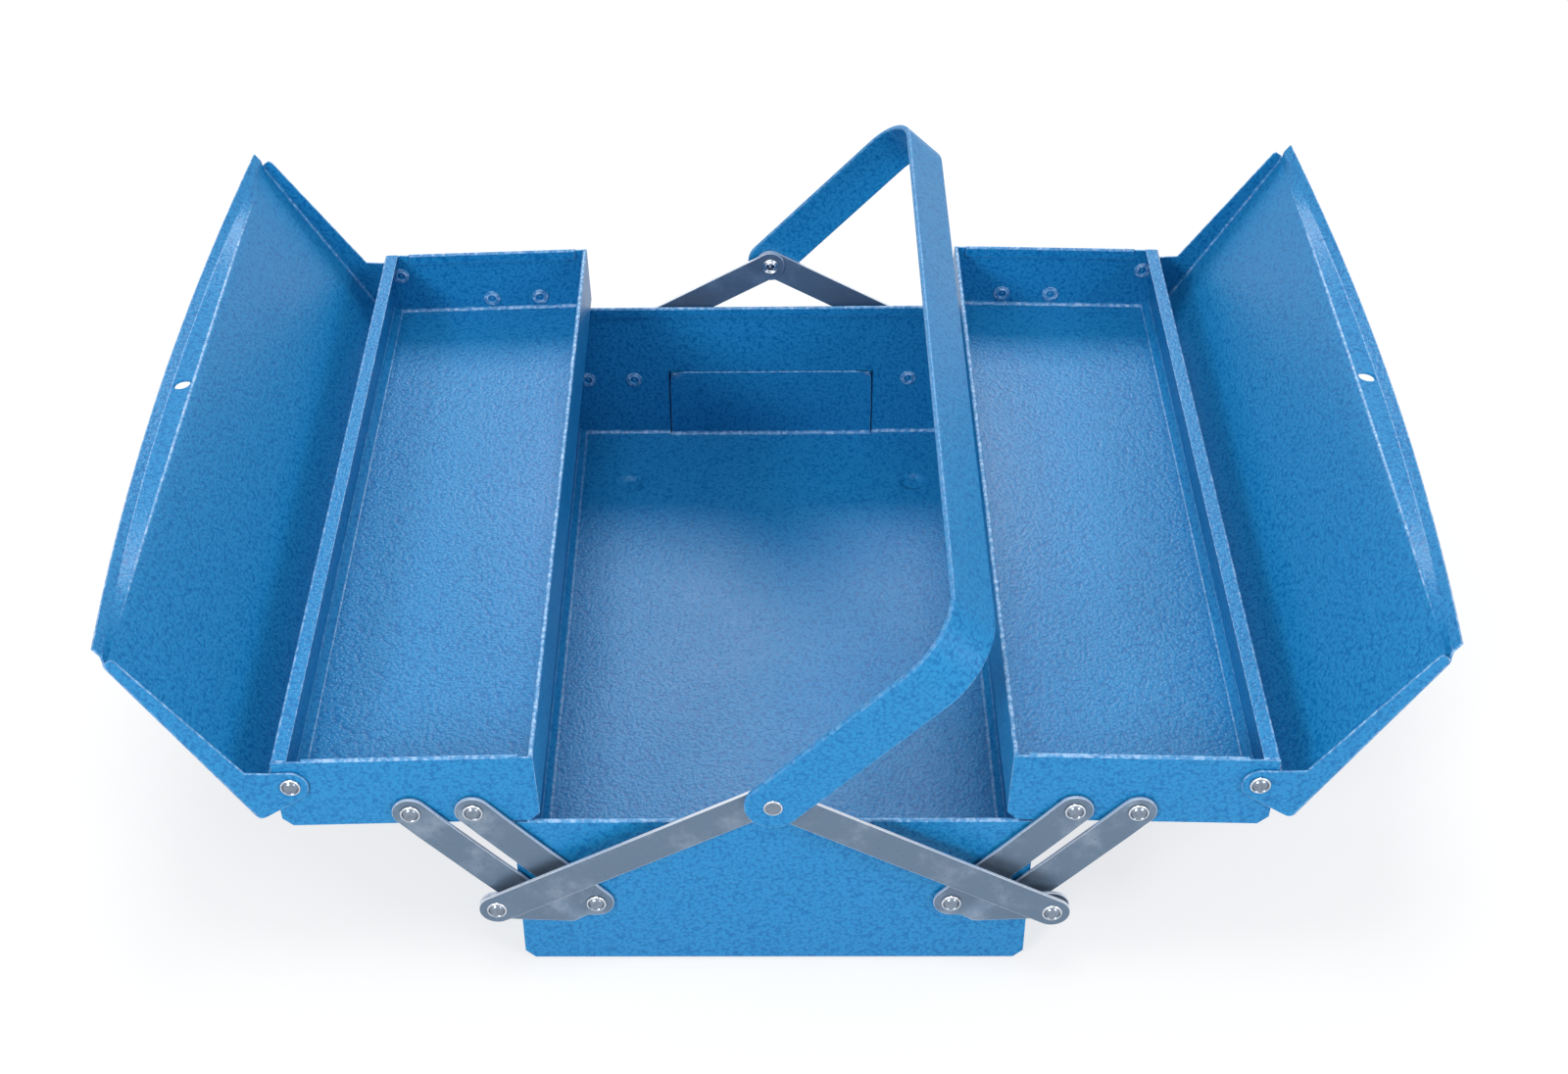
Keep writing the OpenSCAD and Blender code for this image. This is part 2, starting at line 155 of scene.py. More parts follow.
def turn(name, degrees, description):
    """An angle that a user may change, given in degrees."""
    return bpy.props.FloatProperty(name=name, description=description, default=math.radians(degrees),
                                   precision=4, unit="ROTATION", subtype="ANGLE")


def share(name, value, description, top=1.0):
    """A plain number from 0 to top that a user may change."""
    return bpy.props.FloatProperty(name=name, description=description, default=value, min=0, max=top)


def colour(name, value, description):
    """A colour that a user may change."""
    return bpy.props.FloatVectorProperty(name=name, description=description, default=value, size=4,
                                         min=0, max=1, subtype="COLOR")


class ToolBoxSizes(bpy.types.PropertyGroup):
    """Sizes of the sheets, links, rivets and handle."""

    sheet: length("Sheet", 1, "Thickness of every folded sheet")
    hem_h: length("Hem height", 5, "Height of the folded hem along a wall's top edge")
    hem_t: length("Hem thickness", 0.9, "Thickness that a hem adds to its wall")
    corner_cut: length("Corner cut", 4, "Chamfer of the lower corners of the end walls")
    hem_inset: length("Hem inset", 6, "Distance of a hem's ends from the wall's corners")
    edge: length("Edge", 0.25, "How far the rounded rim of a sheet stands past its flat faces")
    fold_r: length("Fold radius", 2, "Radius on the face of a fold")
    tab_w: length("Tab width", 102, "Width of the stiffening tab inside each end wall")
    tab_h: length("Tab height", 38, "Height of the stiffening tab inside each end wall")
    tab_gap: length("Tab gap", 0.2, "Gap between the stiffening tab and the end wall")
    foot_h: length("Foot depth", 1.5, "Depth of the pressed feet")
    foot_d: length("Foot diameter", 14, "Diameter of a pressed foot")
    foot_x: length("Foot across", 71, "Distance of the feet from the middle, across the box")
    foot_y: length("Foot along", 134, "Distance of the feet from the middle, along the box")
    seam_r: length("Seam", 1.6, "Radius of the paint-filled seam along the foot of an end wall")
    tray_w: length("Tray width", 99.5, "Width of one tray")
    tray_h: length("Tray height", 34, "Height of the tray walls")
    flange_w: length("Flange width", 6, "Width of the flange folded in from a tray's outer wall")
    tray_lean: turn("Tray lean", 1.67, "Angle by which an open tray leans outwards")
    tray_pivot_x: length("Tray pivot across", 25.3, "Inner tray pivot from the tray's inner face")
    tray_pivot_z: length("Tray pivot up", 7.3, "Tray pivots over the tray's underside")
    pivot_gap: length("Pivot gap", 24, "Distance between the two tray pivots of one end")
    lid_w: length("Lid width", 100, "Width of a lid over its skirt")
    lid_outer_z: length("Lid outer height", 44.5, "Top of a shut lid's outer edge over the tray's base")
    lid_inner_z: length("Lid inner height", 37.9, "Top of a shut lid's panel beside the lip")
    lid_skirt_z: length("Skirt foot", 34.3, "Lower edge of a shut lid's skirt")
    lid_lap_z: length("Flange foot", 31.8, "Lower edge of a shut lid's end flanges")
    lid_flange_x: length("Flange start", 7.8, "Distance of the end flanges from the lid's free edge")
    ear_r: length("Ear radius", 6.8, "Radius of the ears that a lid turns on")
    ear_blend: length("Ear blend", 14, "Distance before the pivot at which the flange widens to the ear")
    lip_w: length("Lip width", 9.5, "Width of the raised lip along the lid's free edge")
    lip_flat: length("Lip flat", 4.6, "Width of the outer strip of the lip, which turns up")
    lip_turn: length("Lip turn-up", 2, "Height that the lip's outer strip turns up at the middle")
    lip_high_z: length("Lip middle height", 46.4, "Top of the lip at the middle of a shut lid")
    lip_low_z: length("Lip end height", 35.3, "Top of the lip at the ends of a shut lid")
    step_w: length("Step width", 4.6, "Width of the sloping step between panel and lip")
    padlock_d: length("Padlock hole", 6.5, "Diameter of the padlock hole")
    padlock_z: length("Padlock hole height", 41.9, "Height of the padlock hole in a shut lid")
    link_w: length("Link width", 14, "Width of the links and struts")
    link_t: length("Link thickness", 1.5, "Thickness of the links and struts")
    link_edge: length("Link edge", 0.3, "Rounding of the sheared edges of links and struts")
    dent: length("Dent", 0.22, "Depth of the shallow set in the links beside the base")
    washer_d: length("Washer diameter", 9, "Diameter of the washers")
    head_d: length("Head diameter", 8, "Diameter of the rivet heads")
    head_h: length("Head height", 1.4, "Height of the domed rivet heads")
    upset_h: length("Upset height", 1, "Height of the upset rivet ends inside the walls")
    run_gap: length("Running gap", 0.3, "Gap between faces that slide past each other")
    flat_head_d: length("Flat head diameter", 7.4, "Diameter of the flat rivet head on the handle")
    flat_head_h: length("Flat head height", 0.8, "Height of the flat rivet head on the handle")
    handle_reach: length("Handle reach", 106.5, "Distance from the pivot to the outside of the grip")
    strap_w: length("Strap width", 22, "Width of the handle strap")
    strap_t: length("Strap thickness", 2.5, "Thickness of the handle strap")
    strap_edge: length("Strap edge", 0.9, "Rounding of the handle strap's edges")
    bend_r: length("Handle bend", 26, "Outer radius of the handle's bends")
    handle_lean: turn("Handle lean", 46.5, "Angle of the handle over the horizontal")


class ToolBoxFinish(bpy.types.PropertyGroup):
    """Colours and finishes of the paint, the zinc and the rivets."""

    paint: colour("Paint", (0.014, 0.212, 0.47, 1), "Colour of the hammered paint")
    paint_deep: colour("Deep paint", (0.001, 0.13, 0.355, 1), "Colour in the hollows of the paint")
    # Edge paint: a painted highlight on rims and tight folds, partly also standing for worn pale paint
    edge_paint: colour("Edge paint", (0.5, 0.68, 0.9, 1), "Colour of the paint on edges and tight folds")
    zinc: colour("Zinc", (0.27, 0.34, 0.43, 1), "Colour of the zinc-plated links")
    # Dull zinc: the stained zinc between the bright clouds, which are partly a painted reflection
    zinc_dull: colour("Dull zinc", (0.13, 0.19, 0.27, 1), "Colour of the zinc where it is stained")
    # Zinc edge: a painted highlight on the sheared edges of the links
    zinc_edge: colour("Zinc edge", (0.8, 0.84, 0.9, 1), "Colour of the sheared edges of the links")
    gap: colour("Gap", (0.0, 0.02, 0.07, 1), "Colour of the shadow in a gap between two sheets")
    rivet: colour("Rivet", (0.24, 0.29, 0.36, 1), "Colour of the rivet heads")
    # Rivet rim: a painted highlight on the rims of the rivet heads
    rivet_rim: colour("Rivet rim", (0.72, 0.76, 0.82, 1), "Colour of the rims of the rivet heads")
    hammer: length("Hammer pattern", 1.5, "Size of one dimple of the hammered paint")
    hammer_depth: length("Hammer depth", 0.3, "Depth of the hammered paint's dimples")
    gloss: share("Gloss", 0.36, "Roughness of the paint")
    white: share("Background", 1.0, "Strength of the background as the camera and reflections see it")
    sky: share("Sky light", 0.46, "Strength of the even light from all round", 4.0)
    lamps: share("Lamps", 1.0, "Share of the lamps' power", 4.0)


class ToolBoxView(bpy.types.PropertyGroup):
    """The camera that looks along the box from the front and above."""

    place: bpy.props.FloatVectorProperty(
        name="Camera place", description="Place of the camera", size=3,
        default=(-0.055 * MM, -818.83 * MM, 737.57 * MM), unit="LENGTH", subtype="TRANSLATION")
    pitch: turn("Pitch", 38.95, "Angle of the view below the horizontal")
    yaw: turn("Yaw", -1.79, "Turn of the view from along the box")
    roll: turn("Roll", 1.41, "Turn of the frame about the view")
    lens: length("Lens", 54.7, "Focal length for a sensor 36 mm wide")
    shift: share("Shift", 0.04488, "Sideways shift of the frame, as a share of its width")


def sizes():
    """The sizes as they are set."""
    return bpy.context.scene.tool_box_sizes


def finish():
    """The colours and finishes as they are set."""
    return bpy.context.scene.tool_box_finish


def smooth(t):
    """Smoothstep: 0 below 0, 1 above 1, and 3t^2 - 2t^3 between."""
    t = np.clip(t, 0, 1)
    return t * t * (3 - 2 * t)


def bent(t, corner):
    """0 below 0 and t above it, with a parabola (t + corner)^2 / (4 corner) across the bend."""
    return np.where(t < -corner, 0, np.where(t > corner, t, (t + corner) ** 2 / (4 * corner)))


def unit(vectors):
    """Each vector over its own length."""
    return vectors / np.maximum(np.linalg.norm(vectors, axis=-1, keepdims=True), 1e-12)


def stations(low, high, gap, dense=(), dense_gap=1 * MM):
    """Places from low to high at most gap apart, and dense_gap apart inside each (from, to) of dense."""
    parts = [np.linspace(low, high, max(2, math.ceil((high - low) / gap) + 1))]
    for start, stop in dense:
        parts[0] = parts[0][(parts[0] <= start + MM) | (parts[0] >= stop - MM)]
        parts.append(np.linspace(start, stop, max(2, round((stop - start) / dense_gap) + 1)))
    places = np.unique(np.round(np.concatenate(parts), 7))
    return places[np.r_[True, np.diff(places) > CLOSEST]]


def rounded(corners, arc_steps=6, gap=None, runs=1):
    """Path through corners (a, b, radius). Each corner between the first and the last becomes an arc
    that touches both of its straight runs: it starts radius * tan(turn / 2) before the corner and
    turns about the point one radius to the side. A run has steps of at most gap, or runs steps."""
    points = np.array([corner[:2] for corner in corners], float)
    path = [points[:1]]
    for here, corner in enumerate(corners[1:], start=1):
        last = here == len(corners) - 1
        toward = unit(points[here] - points[here - 1])
        start = points[here]
        if not last:
            away = unit(points[here + 1] - points[here])
            angle = math.atan2(toward[0] * away[1] - toward[1] * away[0], toward @ away)
            start = points[here] - toward * corner[2] * math.tan(abs(angle) / 2)
        run = start - path[-1][-1]
        steps = runs if gap is None else max(1, math.ceil(np.linalg.norm(run) / gap))
        path.append(path[-1][-1] + run * np.linspace(0, 1, steps + 1)[1:, None])
        if not last:
            side = np.array([-toward[1], toward[0]]) * math.copysign(corner[2], angle)
            swing = angle * np.linspace(0, 1, arc_steps + 1)[1:, None]
            centre = start + side
            path.append(centre - side * np.cos(swing) + toward * corner[2] * np.abs(np.sin(swing)))
    return np.concatenate(path)


def along_y(path, places):
    """Grid that carries a path of X and Z along Y: rows are the places, columns the path's points."""
    grid = np.empty((len(places), len(path), 3))
    grid[..., 0] = path[:, 0]
    grid[..., 1] = np.asarray(places)[:, None]
    grid[..., 2] = path[:, 1]
    return grid


def at_end(across, up, out, front):
    """Points against one end of the box, from X, Z and the distance outwards from the end wall."""
    across, up, out = np.broadcast_arrays(across, up, out)
    reach = HALF_L + out
    return np.stack([across, -reach if front else reach, up], -1)


def turned_about(points, centre, angle):
    """Points turned about an axis along Y through centre, clockwise as seen from the front:
    x' = x cos + z sin and z' = -x sin + z cos, both from the centre."""
    across = points[..., 0] - centre[0]
    up = points[..., -1] - centre[1]
    moved = points.copy()
    moved[..., 0] = centre[0] + across * math.cos(angle) + up * math.sin(angle)
    moved[..., -1] = centre[1] - across * math.sin(angle) + up * math.cos(angle)
    return moved


def on_side(points, right):
    """Points of the right half, or mirrored to the left."""
    return points if right else points * np.where(np.arange(points.shape[-1]) == 0, -1, 1)


def tray_origin():
    """Lower inner edge of the open right tray, worked back from its inner pivot."""
    size = sizes()
    lever = turned_about(np.array([size.tray_pivot_x, size.tray_pivot_z]), (0, 0), size.tray_lean)
    return DRIVE_TOP - lever


def from_tray(points, right=True):
    """Points of the tray frame, whose origin is the tray's lower inner edge, in the box's frame."""
    origin = tray_origin()
    moved = turned_about(points, (0, 0), sizes().tray_lean)
    moved[..., 0] += origin[0]
    moved[..., -1] += origin[1]
    return on_side(moved, right)


def lid_pivot():
    """Lid pivot in the tray frame."""
    return turned_about(LID_PIVOT - tray_origin(), (0, 0), -sizes().tray_lean)


def from_lid(points, right=True):
    """Points of the shut lid, in the tray frame, moved to the open lid in the box's frame."""
    return from_tray(turned_about(points, lid_pivot(), LID_TURN), right)


class Piece:
    """Collects closed shells and makes one object of them."""

    def __init__(self):
        self.points = []
        self.faces = []
        self.shine = []
        self.count = 0

    def add(self, points, faces, shine=0.0):
        """Adds points and lists of face arrays, leaving out the points that no face uses. shine
        weights the painted highlight on edges and folds, and is negative for a painted gap shadow."""
        used = np.unique(np.concatenate([face.ravel() for face in faces]))
        place = np.full(len(points), -1)
        place[used] = np.arange(len(used)) + self.count
        self.points.append(points[used])
        self.shine.append((np.zeros(len(points)) + shine)[used])
        for face in faces:
            self.faces.extend(place[face].tolist())
        self.count += len(used)

    def sheet(self, front, thickness, edge, keep=None, rings=4, square=0.6, glint=1.0, gaps=None):
        """A sheet from a grid of its front face. The back face lies one thickness behind along the
        grid's normals. The rim joins them: ring t stands at cos(t)^square of half the thickness and
        sin(t)^square of edge outwards. keep says which cells of the grid the sheet has. The shine
        weights a painted highlight: it is glint on the rim and on tight folds, from the turn of the
        normals per length. gaps tells where the back face is in the shadow of a gap, and the shine is
        negative there, for a painted shadow."""
        down, across = np.gradient(front, axis=(0, 1))
        normals = unit(np.cross(down, across))
        turning = [np.linalg.norm(np.gradient(normals, axis=axis), axis=-1)
                   / np.maximum(np.linalg.norm(along, axis=-1), 1e-6)
                   for axis, along in ((0, down), (1, across))]
        folds = smooth((np.maximum(*turning).ravel() * MM - 0.2) / 0.6) * glint
        behind = folds if gaps is None else np.where(gaps.ravel() > 0, -gaps.ravel(), folds)
        back = front - thickness * normals
        rows, columns = front.shape[:2]
        total = rows * columns
        index = np.arange(total).reshape(rows, columns)
        cells = np.stack([index[:-1, :-1], index[1:, :-1], index[1:, 1:], index[:-1, 1:]], -1)
        cells = cells[keep] if keep is not None else cells.reshape(-1, 4)
        if thickness < 0:
            cells = cells[:, ::-1]
        sides = np.concatenate([cells[:, [i, (i + 1) % 4]] for i in range(4)])
        rim = sides[~np.isin(sides[:, 0] * total + sides[:, 1], sides[:, 1] * total + sides[:, 0])]
        front, back = front.reshape(-1, 3), back.reshape(-1, 3)
        half, centre = (front - back) / 2, (front + back) / 2
        out = unit(np.cross(front[rim[:, 1]] - front[rim[:, 0]], half[rim[:, 0]] + half[rim[:, 1]]))
        push = np.zeros_like(front)
        np.add.at(push, rim[:, 0], out)
        np.add.at(push, rim[:, 1], out)
        used = np.unique(rim)
        push = 2 * push[used] / np.maximum((push[used] ** 2).sum(-1, keepdims=True), 1)
        swing = np.linspace(0, math.pi, rings + 2)[1:-1, None, None]
        rise = np.sign(np.cos(swing)) * np.abs(np.cos(swing)) ** square
        ring = centre[used] + half[used] * rise + push * edge * np.sin(swing) ** square
        slot = np.zeros(total, int)
        slot[used] = np.arange(len(used))
        levels = [rim] + [2 * total + k * len(used) + slot[rim] for k in range(rings)] + [rim + total]
        walls = [np.stack([a[:, 0], b[:, 0], b[:, 1], a[:, 1]], -1) for a, b in zip(levels, levels[1:])]
        self.add(np.concatenate([front, back, ring.reshape(-1, 3)]),
                 [cells, cells[:, ::-1] + total, *walls],
                 np.concatenate([folds, behind, np.full(ring.size // 3, glint)]))

    def loft(self, loops, shine=0.0):
        """A closed solid through a row of closed loops, shape (loops, points, 3), with flat caps.
        The sum of its faces' triple products tells whether they point outwards."""
        rows, columns = loops.shape[:2]
        index = np.arange(rows * columns).reshape(rows, columns)
        after = np.roll(index, -1, axis=1)
        walls = np.stack([index[:-1], after[:-1], after[1:], index[1:]], -1).reshape(-1, 4)
        points = loops.reshape(-1, 3)
        first, second, third, fourth = (points[walls[:, k]] - points.mean(0) for k in range(4))
        volume = (first * np.cross(second, third)).sum() + (first * np.cross(third, fourth)).sum()
        faces = [walls, index[0][None, ::-1], index[-1][None]]
        self.add(points, [face[:, ::-1] for face in faces] if volume < 0 else faces, shine)

    def settle(self, node, slot, sharp=50.0, part="finished"):
        """Makes the object. It rides where the node rides, and a finished part hides the node."""
        mesh = bpy.data.meshes.new(f"{node}_{part}")
        mesh.from_pydata(np.concatenate(self.points), [], self.faces)
        shine = mesh.attributes.new("shine", "FLOAT", "POINT")
        shine.data.foreach_set("value", np.concatenate(self.shine).astype(np.float32))
        mesh.polygons.foreach_set("use_smooth", np.ones(len(mesh.polygons), bool))
        mesh.set_sharp_from_angle(angle=math.radians(sharp))
        if mesh.validate():
            raise ValueError(f"{node}: the mesh had faces that Blender had to mend")
        piece = bpy.data.objects.new(f"{node}_{part}", mesh)
        bpy.context.scene.collection.objects.link(piece)
        mesh.materials.append(finish_of(slot))
        evened = piece.modifiers.new("Evened normals", "WEIGHTED_NORMAL")
        evened.keep_sharp = True
        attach(piece, frame["nodes"][node]["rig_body"])
        if part == "finished":
            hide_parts(node)
        return piece


HEAD_PROFILE = np.array([
    (0.05, 1.0), (0.2, 0.985), (0.36, 0.91), (0.5, 0.77), (0.61, 0.57), (0.68, 0.36), (0.72, 0.2),
    (0.76, 0.18), (0.81, 0.34), (0.87, 0.42), (0.93, 0.37), (0.98, 0.2), (1.0, 0.0)])
CROWN_PROFILE = np.array([
    (0.04, 0.86), (0.12, 0.82), (0.19, 0.66), (0.24, 0.36), (0.29, 0.16), (0.36, 0.12), (0.42, 0.3),
    (0.48, 0.72), (0.54, 0.95), (0.6, 1.0), (0.66, 0.9), (0.71, 0.6), (0.75, 0.36), (0.8, 0.3),
    (0.85, 0.4), (0.91, 0.5), (0.96, 0.42), (0.99, 0.22), (1.0, 0.0)])
FLAT_PROFILE = np.array([
    (0.05, 0.92), (0.3, 0.9), (0.55, 0.84), (0.7, 0.74), (0.78, 0.6), (0.83, 0.58), (0.87, 0.72),
    (0.93, 0.7), (0.98, 0.45), (1.0, 0.0)])
WASHER_PROFILE = np.array([(0.5, 1.0), (0.9, 1.0), (0.97, 0.9), (1.0, 0.6), (1.0, 0.3), (0.97, 0.0)])
TURN_STEPS = 40

# Shares of a rivet's radius that place its painted highlight: its groove lies within the first,
# its crown starts at the second and its rim at the third
GROOVE_WITHIN = 0.9
CROWN_FROM = 0.45
RIM_FROM = 0.85


def turned(piece, profile, centre, seat, radius, height, front, outward=True):
    """A profile of (share of radius, share of height) turned about an axis along Y, standing on the
    plane at distance seat from the end wall and rising outwards or inwards. It gets a painted
    highlight on its rim, and a crown also on its crest outside the groove."""
    angle = np.linspace(0, 2 * math.pi, TURN_STEPS, endpoint=False)
    groove = profile[profile[:, 0] < GROOVE_WITHIN, 1].min() + 0.02
    # The crest weights the painted highlight: always on the rim, and on a crown also on its crest
    # outside the groove
    crest = smooth((profile[:, 1] - groove) * 4) * smooth((profile[:, 0] - CROWN_FROM) * 12)
    crest = np.where(profile[:, 0] > RIM_FROM, 1, crest * (profile is CROWN_PROFILE))
    reach = profile[:, :1] * radius
    rise = profile[:, 1:] * (height if outward else -height)
    piece.loft(at_end(centre[0] + reach * np.cos(angle), centre[1] + reach * np.sin(angle),
                      seat + rise, front), np.repeat(crest, TURN_STEPS))


def rivet(heads, ends, centre, seat, front):
    """A rivet through an end wall: a domed head outside and a crowned, painted end inside."""
    size = sizes()
    turned(heads, HEAD_PROFILE, centre, seat, size.head_d / 2, size.head_h, front)
    turned(ends, CROWN_PROFILE, centre, -size.sheet, size.head_d / 2, size.upset_h, front, False)


def canning(across, along, wide, deep, amount):
    """Very slow waves that a folded sheet keeps, fading to nothing at its borders."""
    u, v = across / wide, along / deep
    fade = smooth((1 - np.abs(u)) * 4) * smooth((1 - np.abs(v)) * 6)
    waves = np.cos(2.1 * u + 0.6) * np.cos(3.3 * v - 0.4) + 0.5 * np.sin(5.0 * v + 1.1)
    return amount * fade * waves


def build_base_shell():
    """Floor and side walls in one sheet. Across the box the path comes up the outside of the left
    hem, over it, down the wall, across the floor and up again. The feet are pressed with smoothstep
    sides, and at both ends the middle of the floor turns up into the stiffening tab."""
    size = sizes()
    inside = HALF_W - size.sheet
    floor = FLOOR_Z + size.sheet
    hem_r = (SIDE_HEM + size.sheet) / 2 * BASE_HEM_FILL
    cut = size.corner_cut - size.sheet * (2 - math.sqrt(2))
    half = rounded([(-HALF_W - SIDE_HEM, RIM_Z - size.hem_h), (-HALF_W - SIDE_HEM, RIM_Z, hem_r),
                    (-inside, RIM_Z, hem_r), (-inside, floor + cut, size.fold_r),
                    (-inside + cut, floor, size.fold_r), (-inside + 2 * cut, floor)], gap=7 * MM)
    foot = size.foot_d / 2
    dense = [(side * size.foot_x - foot - MM, side * size.foot_x + foot + MM) for side in (-1, 1)]
    tab = size.tab_w / 2
    slit = 0.4 * MM
    places = stations(half[-1, 0], -half[-1, 0], 6 * MM, dense)
    places = np.unique(np.concatenate([places[np.abs(np.abs(places) - tab) > COLUMN_ROOM],
                                       [-tab - slit, -tab, tab, tab + slit]]))[1:-1]
    bottom = np.stack([places, np.full(len(places), floor)], -1)
    path = np.concatenate([half, bottom, (half * (-1, 1))[::-1]])
    bend_r = 1.6 * MM
    tab_y = HALF_L - size.sheet - size.tab_gap - size.sheet
    end = HALF_L - size.sheet
    dense = [(side * size.foot_y - foot - MM, side * size.foot_y + foot + MM) for side in (-1, 1)]
    rows = stations(-tab_y + bend_r, tab_y - bend_r, 7 * MM, dense)
    rise = rounded([(tab_y - bend_r, floor), (tab_y, floor, bend_r), (tab_y, floor + size.tab_h)],
                   gap=4 * MM)[1:]
    over = np.linspace(tab_y - bend_r, end, len(rise) + 1)[1:]
    grid = along_y(path, np.concatenate([-over[::-1], rows, over]))
    depth = np.zeros(grid.shape[:2])
    for x in (-size.foot_x, size.foot_x):
        for y in (-size.foot_y, size.foot_y):
            away = np.hypot(grid[..., 0] - x, grid[..., 1] - y)
            depth = np.maximum(depth, size.foot_h * smooth((foot - away) / (0.45 * foot)))
    flat = np.zeros(len(path), bool)
    flat[len(half) - 1:len(path) - len(half) + 1] = True
    wave = canning(grid[..., 0], grid[..., 1], inside, end, FLOOR_WAVE)
    grid[..., 2] -= np.where(flat, depth - wave, 0)
    on_tab = np.abs(path[:, 0]) <= tab + slit / 2
    turn_up_tabs(grid, on_tab, rise, tab)
    keep = np.ones((grid.shape[0] - 1, grid.shape[1] - 1), bool)
    split = on_tab[1:] != on_tab[:-1]
    keep[:len(rise)][:, split] = False
    keep[-len(rise):][:, split] = False
    piece = Piece()
    piece.sheet(grid, size.sheet * sheet_sign(grid), size.edge, keep)
    piece.settle("base_shell", "hammered_paint")


def turn_up_tabs(grid, on_tab, rise, half_width):
    """Lays the tab's columns along rise, a path of Y and Z, at both ends. Its upper corners are
    rounded: over the last corner radius the half width loses r - (r^2 - lack^2)^0.5."""
    corner = 1 * MM
    lack = np.clip(rise[:, 1] - (rise[-1, 1] - corner), 0, corner)
    narrow = 1 - (corner - np.sqrt(corner ** 2 - lack ** 2)) / half_width
    for rows_of, sign in ((slice(-len(rise), None), 1), (slice(None, len(rise)), -1)):
        turn_up, width = rise[::sign], narrow[::sign]
        grid[rows_of, on_tab, 0] *= width[:, None]
        grid[rows_of, on_tab, 1] = sign * turn_up[:, :1]
        grid[rows_of, on_tab, 2] = turn_up[:, 1:]


def sheet_sign(grid):
    """1 if the grid's normals point up over its middle, and -1 if they point down."""
    row, column = grid.shape[0] // 2, grid.shape[1] // 2
    down = grid[row + 1, column] - grid[row - 1, column]
    across = grid[row, column + 1] - grid[row, column - 1]
    return math.copysign(1, np.cross(down, across)[2])


# Distances past the tab's side, in millimetres, at which the end wall has columns for the painted shadow
# of its gap
TAB_COLUMNS = (-0.3, 0.1, 0.8, 1.1)


def end_wall(piece, place, low_x, high_x, low_z, high_z, hem_from, hem_to, front, tab=None):
    """An end wall with its top hem folded inwards. The path goes up the outer face, over the top
    and down inside; outside hem_from..hem_to the wall stops below the fold. The lower corners are
    cut by raising the foot one for one. The tab's half width and height tell where a painted
    shadow of its gap darkens the wall."""
    size = sizes()
    edge = size.edge
    hem_r = (size.sheet + size.hem_t) / 2
    tip = 0.3 * MM
    columns = stations(low_x + edge, high_x - edge, 5 * MM)
    fixed = [low_x + size.corner_cut, high_x - size.corner_cut, hem_from - tip, hem_from, hem_to,
             hem_to + tip]
    if tab:
        fixed += [side * (tab[0] + step * MM) for side in (-1, 1) for step in TAB_COLUMNS]
    apart = np.abs(columns[:, None] - fixed).min(1) > COLUMN_ROOM
    columns = np.unique(np.concatenate([columns[apart], fixed]))
    high, thick = high_z - low_z, size.sheet + size.hem_t
    path = rounded([(0, 0), (0, high, hem_r), (thick, high, hem_r), (thick, high - size.hem_h)],
                   arc_steps=10, gap=1.5 * MM)
    straight = int(np.argmax(path[:, 0] > 0))
    raised = np.clip(np.maximum(low_x + size.corner_cut - columns, columns - high_x + size.corner_cut),
                     0, None)[:, None] + edge
    level = low_z + path[:, 1] + np.zeros_like(raised)
    reach = path[straight - 1, 1]
    level[:, :straight] = low_z + raised + (reach - raised) * path[:straight, 1] / reach
    bulge = canning(columns - (low_x + high_x) / 2, 0 * columns, (high_x - low_x) / 2, 1, END_WAVE)
    fade = smooth(path[:, 1] / high * 3) * smooth((high - path[:, 1]) / (8 * MM))
    out = -path[:, 0] + bulge[:, None] * fade
    grid = place(at_end(columns[:, None], level, out, front))
    keep = np.ones((len(columns) - 1, len(path) - 1), bool)
    bare = (columns[1:] > hem_to + tip / 2) | (columns[:-1] < hem_from - tip / 2)
    keep[bare, straight - 1:] = False
    centre = grid[len(columns) // 2, straight // 2]
    nearby = np.cross(grid[len(columns) // 2 + 1, straight // 2] - centre,
                      grid[len(columns) // 2, straight // 2 + 1] - centre)
    outward = nearby[1] * (-1 if front else 1)
    # gaps marks the strip beside the tab where a painted shadow of its gap darkens the wall's back face
    gaps = None
    if tab:
        beside = np.abs(columns) - tab[0]
        gaps = ((beside > 0) & (beside < 1 * MM))[:, None] * (level < low_z + size.sheet + tab[1]) * 1.0
    piece.sheet(grid, math.copysign(thick / 2 * HEM_FILL, outward), edge, keep, glint=0.8, gaps=gaps)
    half = tab[0] + size.sheet if tab else 0
    centre_x = (low_x + high_x) / 2
    floor = low_z + size.sheet
    floor_seam(piece, place, low_x + size.corner_cut, centre_x - half, floor, front)
    floor_seam(piece, place, centre_x + half, high_x - size.corner_cut, floor, front)


def floor_seam(piece, place, start, stop, floor, front):
    """Paint-filled seam between floor and end wall from start to stop: a concave quarter circle
    sunk into both, whose size ripples slowly by the product of two sines."""
    size = sizes()
    seam_r, sunk, unevenness = size.seam_r, 0.3 * MM, 0.22
    swing = np.linspace(0, math.pi / 2, 7)
    section = np.stack([np.r_[seam_r * (1 - np.sin(swing)), -sunk],
                        np.r_[seam_r * (1 - np.cos(swing)), -sunk]], -1)
    # Painted highlight along the seam, strongest half way round its quarter circle
    glint = np.r_[np.sin(2 * swing), 0]
    across = stations(start, stop, 4 * MM)[:, None]
    ripple = 1 + unevenness * np.sin(across / MM * 0.9) * np.sin(across / MM * 0.37 + 1)
    piece.loft(place(at_end(across, floor + section[:, 1] * ripple,
                            -size.sheet - section[:, 0] * ripple, front)),
               np.tile(glint, len(across)))


def build_base_ends():
    """The two end walls of the base."""
    size = sizes()
    for end, front in ENDS.items():
        piece = Piece()
        end_wall(piece, lambda points: points, -HALF_W, HALF_W, FLOOR_Z, RIM_Z,
                 -HALF_W + size.hem_inset, HALF_W - size.hem_inset, front,
                 tab=(size.tab_w / 2, size.tab_h))
        piece.settle(f"base_{end}_end", "hammered_paint")


